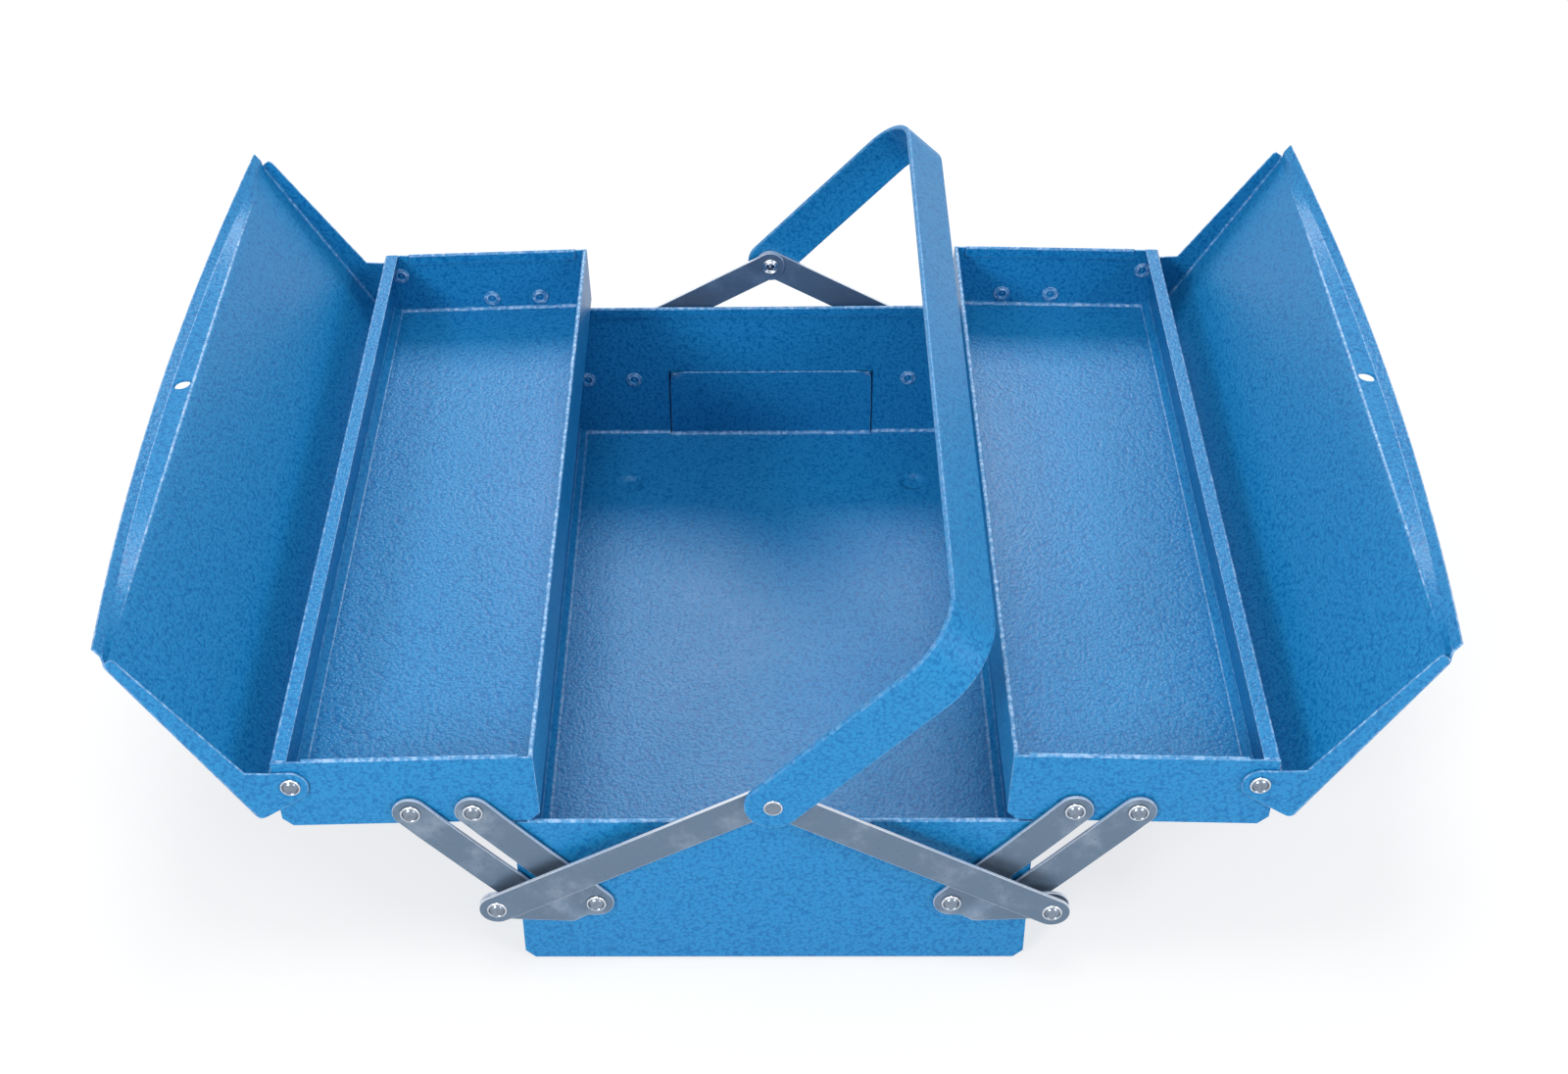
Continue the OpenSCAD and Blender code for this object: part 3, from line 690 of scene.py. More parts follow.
def build_tray_shells():
    """Bottom and long walls of each tray in one sheet. The path runs out along the flange, down the
    outer wall, across the bottom, up the inner wall and over into its hem."""
    size = sizes()
    wide, high, cut = size.tray_w, size.tray_h, size.corner_cut
    thick = size.sheet + size.hem_t
    flange_r = 1.3 * MM
    path = rounded([(wide - size.flange_w, high), (wide, high, flange_r), (wide, cut, size.fold_r),
                    (wide - cut, 0, size.fold_r), (cut, 0, size.fold_r), (0, cut, size.fold_r),
                    (0, high, thick / 2), (thick, high, thick / 2), (thick, high - size.hem_h)],
                   gap=5.5 * MM)
    end = HALF_L - size.sheet
    for side, right in SIDES.items():
        grid = along_y(path, stations(-end, end, 7 * MM))
        flat = (path[:, 1] < HAIR) & (path[:, 0] > cut) & (path[:, 0] < wide - cut)
        wave = canning(grid[..., 0] - wide / 2, grid[..., 1], wide / 2 - cut, end, FLOOR_WAVE)
        grid[..., 2] += np.where(flat, wave, 0)
        wall = (path[:, 0] > wide - HAIR) | (path[:, 0] < HAIR)
        lean = canning(grid[..., 2] - high / 2, grid[..., 1], high / 2, end, WALL_WAVE)
        grid[..., 0] += np.where(wall, lean, 0)
        grid = from_tray(grid, right)
        piece = Piece()
        piece.sheet(grid, -sheet_sign(grid) * thick / 2 * HEM_FILL, size.edge)
        piece.settle(f"{side}_tray_shell", "hammered_paint")


def build_tray_ends():
    """The end walls of both trays."""
    size = sizes()
    for side, right in SIDES.items():
        for end, front in ENDS.items():
            piece = Piece()
            end_wall(piece, lambda points: from_tray(points, right), 0, size.tray_w, 0, size.tray_h,
                     size.hem_inset, size.tray_w - size.hem_inset - size.flange_w, front)
            piece.settle(f"{side}_tray_{end}_end", "hammered_paint")


def lid_top(across, along):
    """Height of the shut lid's upper face: a sloping panel, and beside it a lip whose height is an
    arch along the lid. The step between them is a straight slope with bent borders, so it is as
    deep as the arch is high, and the lip's outer strip turns up at the middle."""
    size = sizes()
    far = (along / LID_HALF_L) ** 2
    corner = 0.12
    slope = (size.lid_outer_z - size.lid_inner_z) / (size.lid_w - size.lip_w)
    panel = size.lid_inner_z + (across - size.lip_w) * slope * (across > size.lip_w)
    lip = size.lip_high_z - (size.lip_high_z - size.lip_low_z) * far
    lip = lip + size.lip_turn * (1 - far) * bent((size.lip_flat - across) / size.lip_flat, corner)
    place = (size.lip_w - across) / size.step_w
    return panel + (lip - panel) * (bent(place, corner) - bent(place - 1, corner))


EAR_BEARING = math.radians(215)


def lid_foot(across):
    """Lower outline of an end flange: level with a slightly raised tip, then widening down to the
    ear round the pivot, which it meets at the ear's bearing."""
    size = sizes()
    centre = lid_pivot()
    start = centre[0] - size.ear_blend
    tip = size.lid_flange_x + 1.2 * MM
    low = centre + size.ear_r * np.array([math.cos(EAR_BEARING), math.sin(EAR_BEARING)])
    level = size.lid_lap_z + 0.5 * np.clip(tip - across, 0, None)
    slant = np.interp(across, [start, low[0]], [size.lid_lap_z, low[1]])
    inside = np.clip(size.ear_r ** 2 - (across - centre[0]) ** 2, 0, None)
    return np.where(across < start, level, np.where(across < low[0], slant, centre[1] - np.sqrt(inside)))


def build_lids():
    """Each lid is one sheet: lip, step, panel and skirt across it, and at both ends the panel turns
    down into a flange that reaches to the lid's foot. The corners between skirt and flange are open.
    The lip starts where its lower edge still clears the other lid when both are shut. The padlock
    hole is cut through the step."""
    size = sizes()
    edge, fold = size.edge, size.fold_r
    lip_lean = math.atan2(size.lip_turn, size.lip_flat)
    lip = np.linspace(edge + size.sheet * math.sin(lip_lean), size.lip_w, 34)
    lip = np.sort(np.append(lip[np.abs(lip - size.lid_flange_x) > 0.1 * MM], size.lid_flange_x))
    ear = lid_pivot()[0] - size.ear_r
    panel = stations(size.lip_w, size.lid_w - fold, 5 * MM, [(ear, size.lid_w - fold)], 0.6 * MM)[1:]
    swing = np.linspace(0, math.pi / 2, 9)[1:]
    skirt = np.arange(1, 4) / 3
    across = np.concatenate([lip, panel, size.lid_w - fold + fold * np.sin(swing),
                             np.full(len(skirt), size.lid_w)])
    drop = np.concatenate([np.zeros(len(lip) + len(panel)), fold * (1 - np.cos(swing)),
                           fold + skirt * (size.lid_outer_z - fold - size.lid_skirt_z - edge)])
    flange = np.arange(len(across)) < len(across) - len(skirt)
    flange &= across > size.lid_flange_x - HAIR
    end = LID_HALF_L - fold
    rows = stations(-end, end, 7 * MM, [(-8 * MM, 8 * MM)])
    rolls = fold * np.stack([np.sin(swing), 1 - np.cos(swing)], -1)
    falls = np.linspace(0, 1, 13)[1:]
    along = np.concatenate([end + rolls[:, 0], np.full(len(falls), LID_HALF_L)])
    along = np.concatenate([-along[::-1], rows, along])[:, None] + 0 * across
    grid = np.stack([across + 0 * along, along, 0 * along], -1)
    held = np.clip(along, -end, end)
    grid[..., 2] = lid_top(np.minimum(across, size.lid_w), held) - drop
    foot = lid_foot(across) + edge
    top = grid[0, :, 2] - fold
    sides = np.concatenate([grid[0, :, 2] - rolls[:, 1:], top + (foot - top) * falls[:, None]])
    count = len(sides)
    grid[-count:, :, 2] = sides
    grid[:count, :, 2] = sides[::-1]
    keep = np.ones((grid.shape[0] - 1, grid.shape[1] - 1), bool)
    bare = ~(flange[1:] & flange[:-1])
    keep[:count][:, bare] = False
    keep[-count:][:, bare] = False
    for side, right in SIDES.items():
        placed = from_lid(grid, right)
        body = Piece()
        upward = sheet_sign(grid) * (1 if right else -1)
        body.sheet(placed, size.sheet * upward, edge, keep)
        cutter = Piece()
        cutter.loft(from_lid(padlock_hole(), right))
        piece = body.settle(f"{side}_lid", "hammered_paint")
        cut_through(piece, cutter)


def padlock_hole():
    """Two circles, before and behind the step of the shut lid, between which the hole is cut."""
    size = sizes()
    ends = np.array([[2.0], [14.0]]) * MM
    angle = np.linspace(0, 2 * math.pi, 48, endpoint=False)
    reach = size.padlock_d / 2
    return np.stack(np.broadcast_arrays(ends, reach * np.cos(angle),
                                        size.padlock_z + reach * np.sin(angle)), -1)


def cut_through(piece, cutter):
    """Cuts the cutter's solid out of the piece, and keeps the result as the piece's own mesh."""
    mesh = bpy.data.meshes.new("cutter")
    mesh.from_pydata(np.concatenate(cutter.points), [], cutter.faces)
    tool = bpy.data.objects.new("cutter", mesh)
    bpy.context.scene.collection.objects.link(tool)
    boolean = piece.modifiers.new("Cut", "BOOLEAN")
    boolean.operation = "DIFFERENCE"
    boolean.solver = "EXACT"
    boolean.object = tool
    evened = piece.modifiers["Evened normals"]
    evened.show_viewport = False
    bpy.context.view_layer.update()
    seen = piece.evaluated_get(bpy.context.evaluated_depsgraph_get())
    cut = bpy.data.meshes.new_from_object(seen)
    before = len(piece.data.polygons)
    piece.modifiers.remove(boolean)
    if len(cut.polygons) == before:
        raise ValueError(f"{piece.name}: the hole was not cut")
    piece.data = cut
    cut.set_sharp_from_angle(angle=math.radians(40))
    evened.show_viewport = True
    bpy.data.objects.remove(tool)


def blade(piece, sides, out, front, right=True):
    """A flat or set strip from its two side curves, each (points, 2) in X and Z: the face is ruled
    between them, and out gives each point's distance from the end wall."""
    size = sizes()
    share_across = np.linspace(0, 1, 9)[None, :, None]
    flat = sides[0][:, None] * (1 - share_across) + sides[1][:, None] * share_across
    grid = on_side(at_end(flat[..., 0], flat[..., 1], out(flat), front), right)
    column = grid.shape[1] // 2
    row = grid.shape[0] // 2
    facing = np.cross(grid[row + 1, column] - grid[row - 1, column],
                      grid[row, column + 1] - grid[row, column - 1])[1]
    outward = math.copysign(1, facing * (-1 if front else 1))
    piece.sheet(grid, size.link_t * outward, size.link_edge)


def strip_sides(start, stop, gap=2 * MM):
    """The two long sides of a strip with round ends, from the middle of one end to the other."""
    size = sizes()
    along = unit(stop - start)
    aside = np.array([-along[1], along[0]])
    radius = size.link_w / 2 - size.link_edge
    reach = np.linalg.norm(stop - start)
    steps = math.ceil(reach / gap)
    sides = []
    for sign in (1, -1):
        path = rounded([(-radius, 0), (-radius, sign * radius, radius * NEARLY_ROUND),
                        (reach + radius, sign * radius, radius * NEARLY_ROUND), (reach + radius, 0)],
                       arc_steps=12, runs=steps)[2:-2]
        sides.append(start + path[:, :1] * along + path[:, 1:] * aside)
    return sides


def set_in(points, start, stop, place, depth):
    """A shallow S-shaped set across a strip: a smoothstep of depth around place, a share of the
    strip's length, and back again before its end."""
    rise, back, fall = 0.18, 0.84, 0.12
    along = (points - start) @ (stop - start) / ((stop - start) @ (stop - start))
    return depth * (smooth((along - place + rise / 2) / rise) - smooth((along - back) / fall))


def corners():
    """Name, right and front of each of the four corners of the box."""
    return [(f"{side}_{end}", right, front) for side, right in SIDES.items()
            for end, front in ENDS.items()]


def tray_pivots():
    """Inner and outer pivot of a tray's end in the tray frame."""
    size = sizes()
    inner = np.array([size.tray_pivot_x, size.tray_pivot_z])
    return inner, inner + (size.pivot_gap, 0)


def build_outer_links():
    """Plain strips between the outer base pivots and the outer tray pivots."""
    size = sizes()
    top = from_tray(tray_pivots()[1])
    dent_at = 0.3
    for corner, right, front in corners():
        piece = Piece()
        blade(piece, strip_sides(OUTER_BASE, top),
              lambda points: LINK_N[1] + set_in(points, OUTER_BASE, top, dent_at, size.dent),
              front, right)
        piece.settle(f"{corner}_outer_link", "zinc_plate")


def build_struts():
    """Strips from the drive arms' extensions to the handle's pivot. The right pair lies outside."""
    for corner, right, front in corners():
        piece = Piece()
        level = STRUT_N[right][1]
        blade(piece, strip_sides(STRUT_END, HANDLE_PIVOT, 4 * MM),
              lambda points: level + 0 * points[..., 0], front, right)
        piece.settle(f"{corner}_strut", "zinc_plate")


def build_drive_arms():
    """Bell cranks: a link and its extension in one plate. Both sides of the plate are paths round
    its three rounded corners, and the face is ruled between them. Beside the link the plate steps
    outwards to the extension's layer over a fold that is parallel to the link."""
    size = sizes()
    radius = size.link_w / 2 - size.link_edge
    along, away = unit(DRIVE_TOP - DRIVE_BASE), unit(STRUT_END - DRIVE_BASE)
    aside = np.array([along[1], -along[0]])
    aside = aside if aside @ away > 0 else -aside
    beside = unit(along - away * (along @ away))
    long_reach = np.linalg.norm(DRIVE_TOP - DRIVE_BASE) + radius
    short_reach = np.linalg.norm(STRUT_END - DRIVE_BASE) + radius
    half = math.acos(along @ away) / 2
    bisector = unit(along + away)
    inner_corner = DRIVE_BASE + bisector * radius / math.sin(half)
    outer_corner = DRIVE_BASE - bisector * radius / math.sin(half)
    sides = []
    near = DRIVE_BASE + along * long_reach
    far = DRIVE_BASE + away * short_reach
    round_r, throat_r, runs = radius * NEARLY_ROUND, 5 * MM, 24
    for sign, corner, corner_r in ((1, inner_corner, throat_r), (-1, outer_corner, round_r)):
        path = rounded([(*near, 0), (*(near + sign * radius * aside), round_r),
                        (*corner, corner_r), (*(far + sign * radius * beside), round_r),
                        (*far, 0)], arc_steps=12, runs=runs)
        sides.append(path[runs + 1:-runs - 1])
    fold_from = size.link_w / 2 + size.run_gap
    jog = EXTENSION_OUT - LINK_N[1]
    ease, dent_at = 0.6 * MM, 0.42

    def out(points):
        beyond = (points - DRIVE_BASE) @ aside
        step = smooth((beyond - fold_from + ease) / (jog + 2 * ease))
        dent = set_in(points, DRIVE_BASE, DRIVE_TOP, dent_at, size.dent) * (beyond < fold_from)
        return LINK_N[1] + jog * step + dent

    for corner, right, front in corners():
        piece = Piece()
        blade(piece, sides, out, front, right)
        piece.settle(f"{corner}_drive_arm", "zinc_plate")


def build_rivets():
    """All rivets, grouped as the object's own nodes are."""
    size = sizes()
    head_r = size.head_d / 2
    head_seat = LINK_N[1] + size.run_gap
    lid_seat = size.run_gap + size.sheet + size.run_gap
    base, base_ends = Piece(), Piece()
    for front in ENDS.values():
        for right in SIDES.values():
            for point in (DRIVE_BASE, OUTER_BASE):
                rivet(base, base_ends, on_side(point, right), head_seat, front)
    base.settle("base_pivot_rivets", "bright_rivet")
    base_ends.settle("base_pivot_rivets", "hammered_paint", part="ends")
    for side, right in SIDES.items():
        trays, lids, arms, struts, ends = Piece(), Piece(), Piece(), Piece(), Piece()
        end_point = on_side(STRUT_END, right)
        behind = EXTENSION_OUT - size.link_t
        for front in ENDS.values():
            for point in tray_pivots():
                rivet(trays, ends, from_tray(point, right), head_seat, front)
            rivet(lids, ends, from_tray(lid_pivot(), right), lid_seat, front)
            turned(arms, CROWN_PROFILE, end_point, behind, head_r, size.head_h, front, False)
            turned(struts, HEAD_PROFILE, end_point, STRUT_N[right][1], head_r, size.head_h, front)
        trays.settle(f"{side}_tray_rivets", "bright_rivet")
        ends.settle(f"{side}_tray_rivets", "hammered_paint", part="ends")
        lids.settle(f"{side}_lid_rivets", "bright_rivet")
        arms.settle(f"{side}_drive_arm_rivets", "bright_rivet")
        struts.settle(f"{side}_strut_rivets", "bright_rivet")
    middles = Piece()
    sunk = 0.2 * MM
    for front in ENDS.values():
        turned(middles, FLAT_PROFILE, HANDLE_PIVOT, STRAP_OUT + size.run_gap - sunk,
               size.flat_head_d / 2, size.flat_head_h, front)
        turned(middles, CROWN_PROFILE, HANDLE_PIVOT, STRUT_N[False][0] - size.run_gap,
               head_r, size.head_h, front, False)
    middles.settle("handle_rivets", "bright_rivet")


def build_washers():
    """Washers under the links, and the spacers that bring the right struts to their layer."""
    size = sizes()
    groups = {"base_pivot_washers": ([on_side(point, right) for point in (DRIVE_BASE, OUTER_BASE)
                                      for right in SIDES.values()], 0, WASHER_N)}
    for side, right in SIDES.items():
        groups[f"{side}_tray_washers"] = ([from_tray(point, right) for point in tray_pivots()],
                                          0, WASHER_N)
    groups["right_strut_spacers"] = ([STRUT_END], EXTENSION_OUT + size.run_gap,
                                     STRUT_N[True][0] - EXTENSION_OUT - size.run_gap)
    for node, (points, seat, height) in groups.items():
        piece = Piece()
        for front in ENDS.values():
            for point in points:
                turned(piece, WASHER_PROFILE, point, seat, size.washer_d / 2, height, front)
        piece.settle(node, "zinc_plate")


def build_handle():
    """One bent strap. Its outer face follows the path up one arm, round the bend, along the grip
    and down again. Its half width closes in half circles round the pivots: it is r sin(swing) where
    the path lies r cos(swing) below the pivot."""
    size = sizes()
    radius = size.strap_w / 2 - size.strap_edge
    reach = HALF_L + STRAP_OUT
    path = rounded([(-reach, radius), (-reach, size.handle_reach, size.bend_r),
                    (reach, size.handle_reach, size.bend_r), (reach, radius)], arc_steps=22, gap=5 * MM)
    first = math.radians(4)
    swing = np.linspace(first, math.pi / 2, 26)[:-1]
    cap = np.stack([np.full(len(swing), -reach), -radius * np.cos(swing)], -1)
    arm = rounded([(-reach, 0), (-reach, radius)], gap=3 * MM)[:-1]
    path = np.concatenate([cap, arm, path, (arm * (-1, 1))[::-1], (cap * (-1, 1))[::-1]])
    width = np.full(len(path), radius)
    width[:len(swing)] = radius * np.sin(swing)
    width[-len(swing):] = (radius * np.sin(swing))[::-1]
    share_across = np.linspace(-1, 1, 15)
    grid = np.empty((len(path), len(share_across), 3))
    grid[..., 0] = width[:, None] * share_across + HANDLE_PIVOT[0]
    grid[..., 1] = path[:, :1]
    grid[..., 2] = path[:, 1:] + HANDLE_PIVOT[1]
    grid = turned_about(grid, HANDLE_PIVOT, math.pi / 2 - size.handle_lean)
    piece = Piece()
    grip = grid[len(path) // 2]
    facing = np.cross(grid[len(path) // 2 + 1, 7] - grid[len(path) // 2 - 1, 7], grip[8] - grip[6])
    outward = math.copysign(1, facing @ (grip[7] - (HANDLE_PIVOT[0], 0, HANDLE_PIVOT[1])))
    piece.sheet(grid, size.strap_t * outward, size.strap_edge, rings=7, square=0.75, glint=0.3)
    piece.settle("handle", "hammered_paint")


PAINT_IOR = 1.33
ZINC_METALLIC = 0.7
PIT_COLOUR = (0.08, 0.1, 0.13, 1)
MARK_COLOUR = (0.1, 0.12, 0.15, 1)


class Value:
    """A socket of a shader tree. Arithmetic on it adds Math nodes."""

    def __init__(self, tree, socket):
        self.tree = tree
        self.socket = socket

    def math(self, operation, *others, clamp=False):
        """This value and others through one Math node."""
        values = dict(enumerate((self, *others)))
        return self.tree.node("ShaderNodeMath", {"operation": operation, "use_clamp": clamp}, values)

    def __add__(self, other):
        return self.math("ADD", other)

    def __mul__(self, other):
        return self.math("MULTIPLY", other)

    def __sub__(self, other):
        return self.math("SUBTRACT", other)

    def __rsub__(self, other):
        return self.tree.node("ShaderNodeMath", {"operation": "SUBTRACT"}, {0: other, 1: self})

    __radd__ = __add__
    __rmul__ = __mul__


class Tree:
    """A material's or world's shader tree."""

    def __init__(self, owner):
        owner.use_nodes = True
        self.tree = owner.node_tree
        self.tree.nodes.clear()

    def node(self, kind, settings=(), values=(), output=0):
        """Adds a node, sets its settings, then the values or links of its sockets, and gives one
        of its outputs, or None where it has none."""
        made = self.tree.nodes.new(kind)
        for name, value in dict(settings).items():
            setattr(made, name, value)
        for name, value in dict(values).items():
            if isinstance(value, Value):
                self.tree.links.new(value.socket, made.inputs[name])
            else:
                made.inputs[name].default_value = value
        return Value(self, made.outputs[output]) if made.outputs else None

    def noise(self, vector, scale, detail=2.0, roughness=0.5):
        """Smooth noise with features about 1 / scale long."""
        return self.node("ShaderNodeTexNoise", {}, {"Vector": vector, "Scale": scale, "Detail": detail,
                                                     "Roughness": roughness})

    def blend(self, share_of, first, second):
        """Mixes two colours."""
        return self.node("ShaderNodeMix", {"data_type": "RGBA"},
                         {"Factor": share_of, 6: first, 7: second}, output=2)

    def ramp(self, value, low, high):
        """A value spread so that low becomes 0 and high 1, with a smoothstep between."""
        return self.node("ShaderNodeMapRange", {"interpolation_type": "SMOOTHSTEP"},
                         {"Value": value, "From Min": low, "From Max": high})

    def place(self):
        """Object coordinates."""
        return self.node("ShaderNodeTexCoord", output="Object")

    def shine(self):
        """The weight of the painted highlight on the sheets' rims and folds, negative for the painted
        shadow in a gap.
        """
        return self.node("ShaderNodeAttribute", {"attribute_name": "shine"}, output="Fac")

    def surface(self, base, roughness, height, depth, strength, **others):
        """A Principled surface with a bump of depth, and the material's output."""
        bump = self.node("ShaderNodeBump", {},
                         {"Strength": strength, "Distance": depth, "Height": height})
        shader = self.node("ShaderNodeBsdfPrincipled", {}, {
            "Base Color": base, "Roughness": roughness, "Normal": bump, **others})
        self.node("ShaderNodeOutputMaterial", {}, {"Surface": shader})


def hammered_paint(tree, look):
    """Blue hammered enamel: smooth dimples lighter on their tops, with slow changes of gloss where
    the paint lies thicker. Rims and folds get a painted highlight in broken pale lines, which partly
    also stands for worn paint, and gaps get a painted shadow."""
    place = tree.place()
    warp = tree.node("ShaderNodeTexNoise", {}, {"Vector": place, "Scale": 0.7 / look.hammer,
                                                "Detail": 1.0}, output="Color")
    shifted = tree.node("ShaderNodeVectorMath", {"operation": "MULTIPLY_ADD"},
                        {0: warp, 1: (look.hammer * 0.9,) * 3, 2: place})
    cells = tree.node("ShaderNodeTexVoronoi", {"feature": "SMOOTH_F1"},
                      {"Vector": shifted, "Scale": 1 / look.hammer, "Smoothness": 0.8})
    fine = tree.noise(place, 1.9 / look.hammer, 2.0)
    height = (1 - cells) * 0.65 + fine * 0.6
    slow = tree.noise(place, 14.0, 3.0, 0.55)
    tops = tree.ramp(height, 0.4, 0.78)
    base = tree.blend(tops, tuple(look.paint_deep), tuple(look.paint))
    shine = tree.shine()
    # Painted highlight: rims and tight folds go pale in broken lines, partly also standing for worn
    # paint
    broken = tree.ramp(tree.noise(place, 420.0, 3.0, 0.6), 0.42, 0.66)
    glint_and_wear = shine.math("MULTIPLY", broken * 0.5 + 0.12, clamp=True)
    base = tree.blend(glint_and_wear, base, tuple(look.edge_paint))
    # Painted shadow: where the shine is negative, the gap's shadow colour is painted on
    base = tree.blend(shine.math("MULTIPLY", -1, clamp=True), base, tuple(look.gap))
    rough = slow * 0.14 + fine * 0.1 + (look.gloss - 0.12) - shine * 0.08
    tree.surface(base, rough, height, look.hammer_depth, 1.0, IOR=PAINT_IOR)


def zinc_plate(tree, look):
    """Zinc-plated steel strip: clouded plating whose bright clouds are partly a painted
    reflection, a fine grain and small pits, with a painted highlight on the edges.
    """
    place = tree.place()
    clouds = tree.noise(place, 55.0, 4.0, 0.6)
    specks = tree.noise(place, 900.0, 2.0)
    grain = tree.noise(place, 2600.0, 1.0)
    # The bright clouds stand partly for clouded plating and partly for a painted reflection of the
    # surroundings
    stain_and_sheen = tree.ramp(clouds, 0.46, 0.8)
    base = tree.blend(stain_and_sheen, tuple(look.zinc_dull), tuple(look.zinc))
    # Painted highlight on the sheared edges
    base = tree.blend(tree.shine() * 0.85, base, tuple(look.zinc_edge))
    pits = tree.ramp(specks, 0.64, 0.74)
    base = tree.blend(pits * 0.5, base, PIT_COLOUR)
    rough = 0.42 - stain_and_sheen * 0.14 + grain * 0.08
    height = clouds * 0.8 + specks * 0.3 + grain * 0.1
    tree.surface(base, rough, height, 0.05 * MM, 0.35, Metallic=ZINC_METALLIC)


def bright_rivet(tree, look):
    """Rivet steel, brighter and smoother than the strip, with light hammer marks and a painted
    highlight on the rims and crown crests.
    """
    marks = tree.noise(tree.place(), 700.0, 2.0)
    dull = tree.ramp(marks, 0.4, 0.7)
    # Painted highlight on the rims, and on crowns also on their crests
    base = tree.blend(tree.shine(), tuple(look.rivet), tuple(look.rivet_rim))
    base = tree.blend(dull * 0.35, base, MARK_COLOUR)
    tree.surface(base, 0.2 + dull * 0.14, marks, 0.06 * MM, 0.3, Metallic=1.0)


FINISHES = {"hammered_paint": hammered_paint, "zinc_plate": zinc_plate, "bright_rivet": bright_rivet}


def finish_of(slot):
    """The material of a slot, made the first time it is asked for."""
    name = slot.replace("_", " ")
    made = bpy.data.materials.get(name)
    if made is None:
        made = bpy.data.materials.new(name)
        FINISHES[slot](Tree(made), finish())
    return made


def seen_directly(tree):
    """1 for rays from the camera, from mirrors and through glass, and 0 for the rest."""
    camera, glossy, through = (tree.node("ShaderNodeLightPath", output=f"Is {kind} Ray")
                               for kind in ("Camera", "Glossy", "Transmission"))
    return (camera + glossy).math("ADD", through, clamp=True)


FLOOR_HALF = 6.0
FLOOR_SHADE = 0.3
SHADE_FROM, SHADE_TO = 0.5, 1.5

# Place, target, side and power in watts of each square lamp
LAMPS = {
    "overhead": ((-0.1, -0.25, 1.6), (0, 0, 0), 0.6, 8.5),
    "rear": ((0.02, 1.4, 1.2), (0, 0, 0.05), 0.62, 16.0),
    "left": ((-0.8, -1.4, 0.9), (0, 0, 0.05), 0.4, 15.0),
    "right": ((1.15, -1.0, 0.8), (0, 0, 0.05), 0.6, 9.0),
}


def lay_floor(look):
    """White floor. Near the object a share of what the camera and reflections see is the lit floor
    with its shadow, and further out the floor is plain white to them."""
    floor_mesh = bpy.data.meshes.new("floor")
    corners = FLOOR_HALF * np.array([(-1, -1, 0), (1, -1, 0), (1, 1, 0), (-1, 1, 0)], float)
    floor_mesh.from_pydata(corners, [], [(0, 1, 2, 3)])
    floor = bpy.data.objects.new("floor", floor_mesh)
    bpy.context.scene.collection.objects.link(floor)
    made = bpy.data.materials.new("white floor")
    tree = Tree(made)
    matt = tree.node("ShaderNodeBsdfDiffuse", {}, {"Color": (0.9, 0.9, 0.9, 1)})
    glow = tree.node("ShaderNodeEmission", {}, {"Color": (1, 1, 1, 1), "Strength": look.white})
    away = tree.node("ShaderNodeVectorMath", {"operation": "LENGTH"}, {0: tree.place()}, output="Value")
    plain = 1 - (1 - tree.ramp(away, SHADE_FROM, SHADE_TO)) * FLOOR_SHADE
    mixed = tree.node("ShaderNodeMixShader", {}, {0: seen_directly(tree) * plain, 1: matt, 2: glow})
    tree.node("ShaderNodeOutputMaterial", {}, {"Surface": mixed})
    floor_mesh.materials.append(made)


def light_world(look):
    """Even pale light from all round, seen as white by the camera and in reflections."""
    world = bpy.data.worlds.new("studio")
    bpy.context.scene.world = world
    tree = Tree(world)
    even = tree.node("ShaderNodeBackground", {}, {"Color": (0.95, 0.975, 1, 1), "Strength": look.sky})
    white = tree.node("ShaderNodeBackground", {}, {"Color": (1, 1, 1, 1), "Strength": look.white})
    mixed = tree.node("ShaderNodeMixShader", {}, {0: seen_directly(tree), 1: even, 2: white})
    tree.node("ShaderNodeOutputWorld", {}, {"Surface": mixed})


def hang_lamps(look):
    """Soft square lamps, each turned to its target."""
    for name, (place, target, wide, power) in LAMPS.items():
        light = bpy.data.lights.new(name, "AREA")
        light.shape = "SQUARE"
        light.size = wide
        light.energy = power * look.lamps
        lamp = bpy.data.objects.new(name, light)
        bpy.context.scene.collection.objects.link(lamp)
        lamp.location = place
        lamp.rotation_euler = (Vector(target) - Vector(place)).to_track_quat("-Z", "Y").to_euler()


def build_stage():
    """The floor, the world, the lamps and the plain view transform."""
    look = finish()
    lay_floor(look)
    light_world(look)
    hang_lamps(look)
    bpy.context.scene.view_settings.view_transform = "Standard"


SENSOR_W = 36


def build_camera():
    """The camera. Its forward axis is (sin yaw cos pitch, cos yaw cos pitch, -sin pitch), and the
    frame is then rolled about it."""
    view = bpy.context.scene.tool_box_view
    forward = np.array([math.sin(view.yaw) * math.cos(view.pitch),
                        math.cos(view.yaw) * math.cos(view.pitch), -math.sin(view.pitch)])
    level = np.array([math.cos(view.yaw), -math.sin(view.yaw), 0])
    below = np.cross(forward, level)
    right = math.cos(view.roll) * level + math.sin(view.roll) * below
    down = math.cos(view.roll) * below - math.sin(view.roll) * level
    data = bpy.data.cameras.new("camera")
    data.sensor_width = SENSOR_W
    data.lens = view.lens / MM
    data.shift_x = view.shift
    data.clip_start = 0.05
    camera = bpy.data.objects.new("camera", data)
    bpy.context.scene.collection.objects.link(camera)
    columns = np.stack([right, -down, -forward], 1)
    camera.matrix_world = Matrix.Translation(view.place) @ Matrix(columns.tolist()).to_4x4()
    bpy.context.scene.camera = camera


def operator(name, label, description, build):
    """An operator class that runs one build function."""

    def execute(self, context):
        build()
        return {"FINISHED"}

    return type("TOOLBOX_OT_" + name, (bpy.types.Operator,), {
        "__doc__": description, "bl_idname": "tool_box." + name, "bl_label": label,
        "bl_description": description, "bl_options": {"REGISTER", "UNDO"}, "execute": execute})


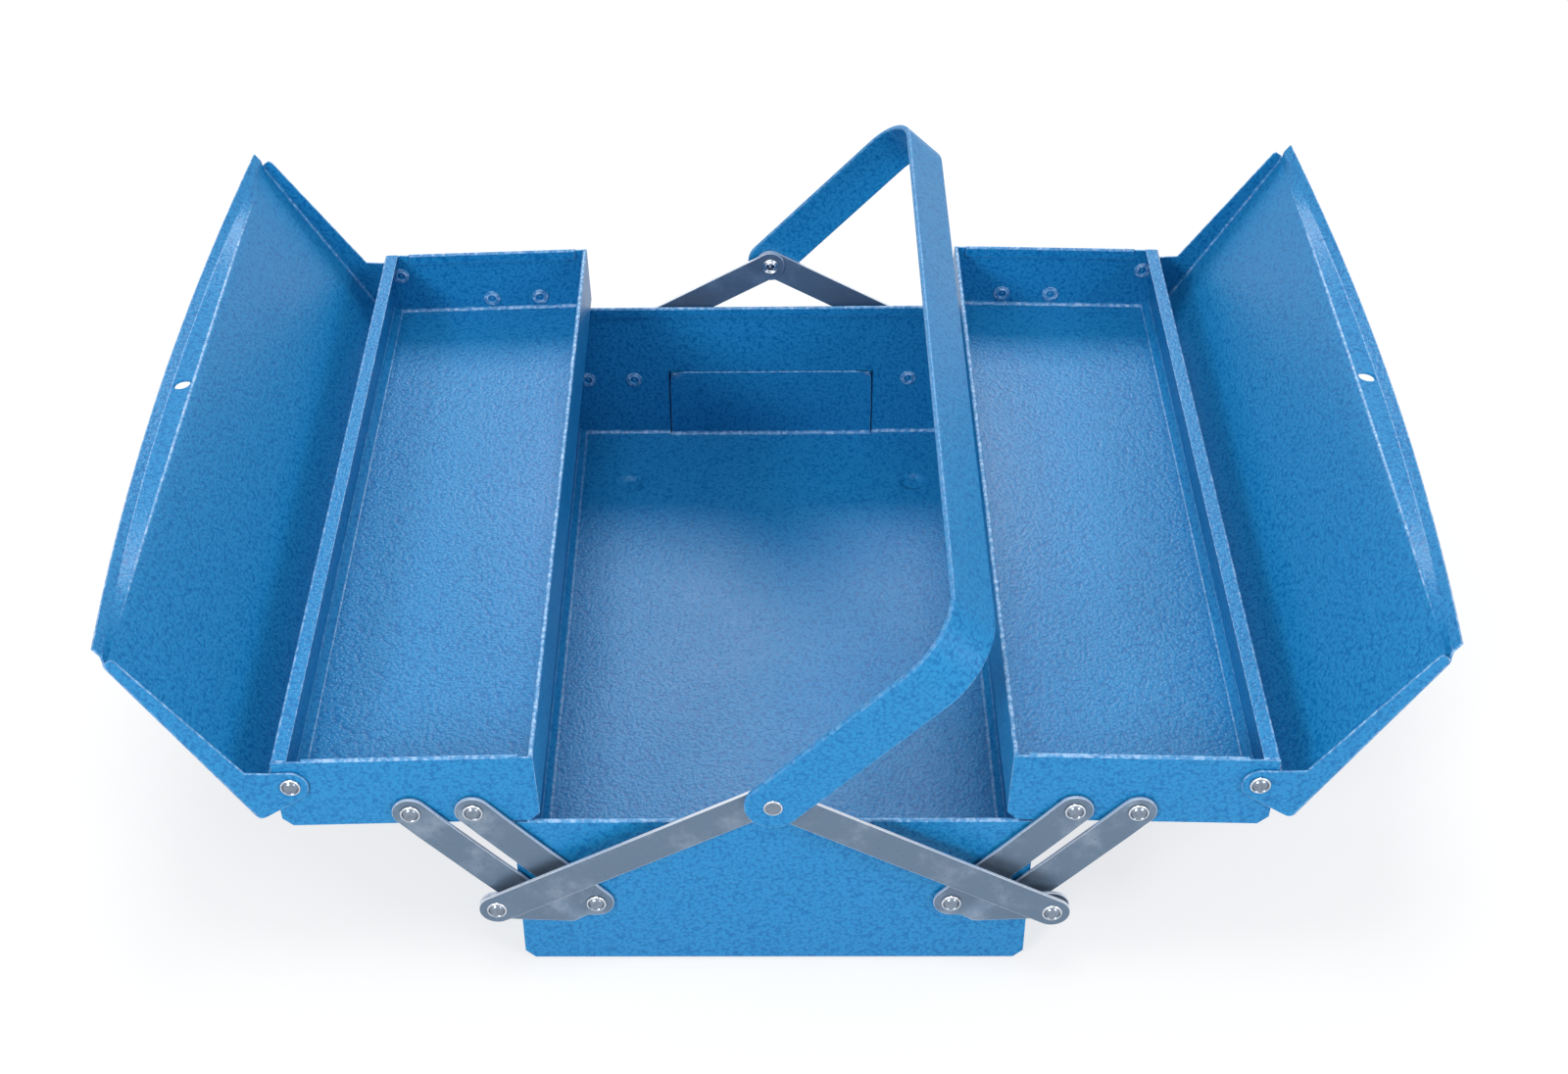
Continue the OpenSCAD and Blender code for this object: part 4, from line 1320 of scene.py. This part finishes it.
OPERATORS = (
    operator("camera", "Camera", "Places the camera", build_camera),
    operator("stage", "Stage", "Makes the floor, the world and the lamps", build_stage),
    operator("base_shell", "Base shell", "Makes the floor and side walls of the base", build_base_shell),
    operator("base_ends", "Base ends", "Makes the end walls of the base", build_base_ends),
    operator("tray_shells", "Tray shells", "Makes the trays' bottoms and long walls", build_tray_shells),
    operator("tray_ends", "Tray ends", "Makes the end walls of the trays", build_tray_ends),
    operator("lids", "Lids", "Makes both lids", build_lids),
    operator("outer_links", "Outer links", "Makes the outer links", build_outer_links),
    operator("drive_arms", "Drive arms", "Makes the drive arms", build_drive_arms),
    operator("struts", "Struts", "Makes the struts", build_struts),
    operator("rivets", "Rivets", "Makes all the rivets", build_rivets),
    operator("washers", "Washers", "Makes the washers and spacers", build_washers),
    operator("handle", "Handle", "Makes the carry handle", build_handle),
)


class TOOLBOX_PT_sidebar(bpy.types.Panel):
    """Lists the tool box's operators and settings."""

    bl_label = "Cantilever Tool Box"
    bl_idname = "TOOLBOX_PT_sidebar"
    bl_space_type = "VIEW_3D"
    bl_region_type = "UI"
    bl_category = "Tool Box"

    def draw(self, context):
        """One button an operator, then one box of settings a group."""
        for made in OPERATORS:
            self.layout.operator(made.bl_idname)
        for group in (context.scene.tool_box_sizes, context.scene.tool_box_finish,
                      context.scene.tool_box_view):
            box = self.layout.box()
            for name in group.__annotations__:
                box.prop(group, name)


CLASSES = (ToolBoxSizes, ToolBoxFinish, ToolBoxView, *OPERATORS, TOOLBOX_PT_sidebar)


def register():
    """Registers the classes and hangs the settings on the scene."""
    for made in CLASSES:
        bpy.utils.register_class(made)
    bpy.types.Scene.tool_box_sizes = bpy.props.PointerProperty(type=ToolBoxSizes)
    bpy.types.Scene.tool_box_finish = bpy.props.PointerProperty(type=ToolBoxFinish)
    bpy.types.Scene.tool_box_view = bpy.props.PointerProperty(type=ToolBoxView)


def unregister():
    """Takes the settings and the classes away again."""
    del bpy.types.Scene.tool_box_view
    del bpy.types.Scene.tool_box_finish
    del bpy.types.Scene.tool_box_sizes
    for made in reversed(CLASSES):
        bpy.utils.unregister_class(made)


def main():
    register()
    for made in OPERATORS:
        group, name = made.bl_idname.split(".")
        getattr(getattr(bpy.ops, group), name)()


if __name__ == "__main__":
    main()
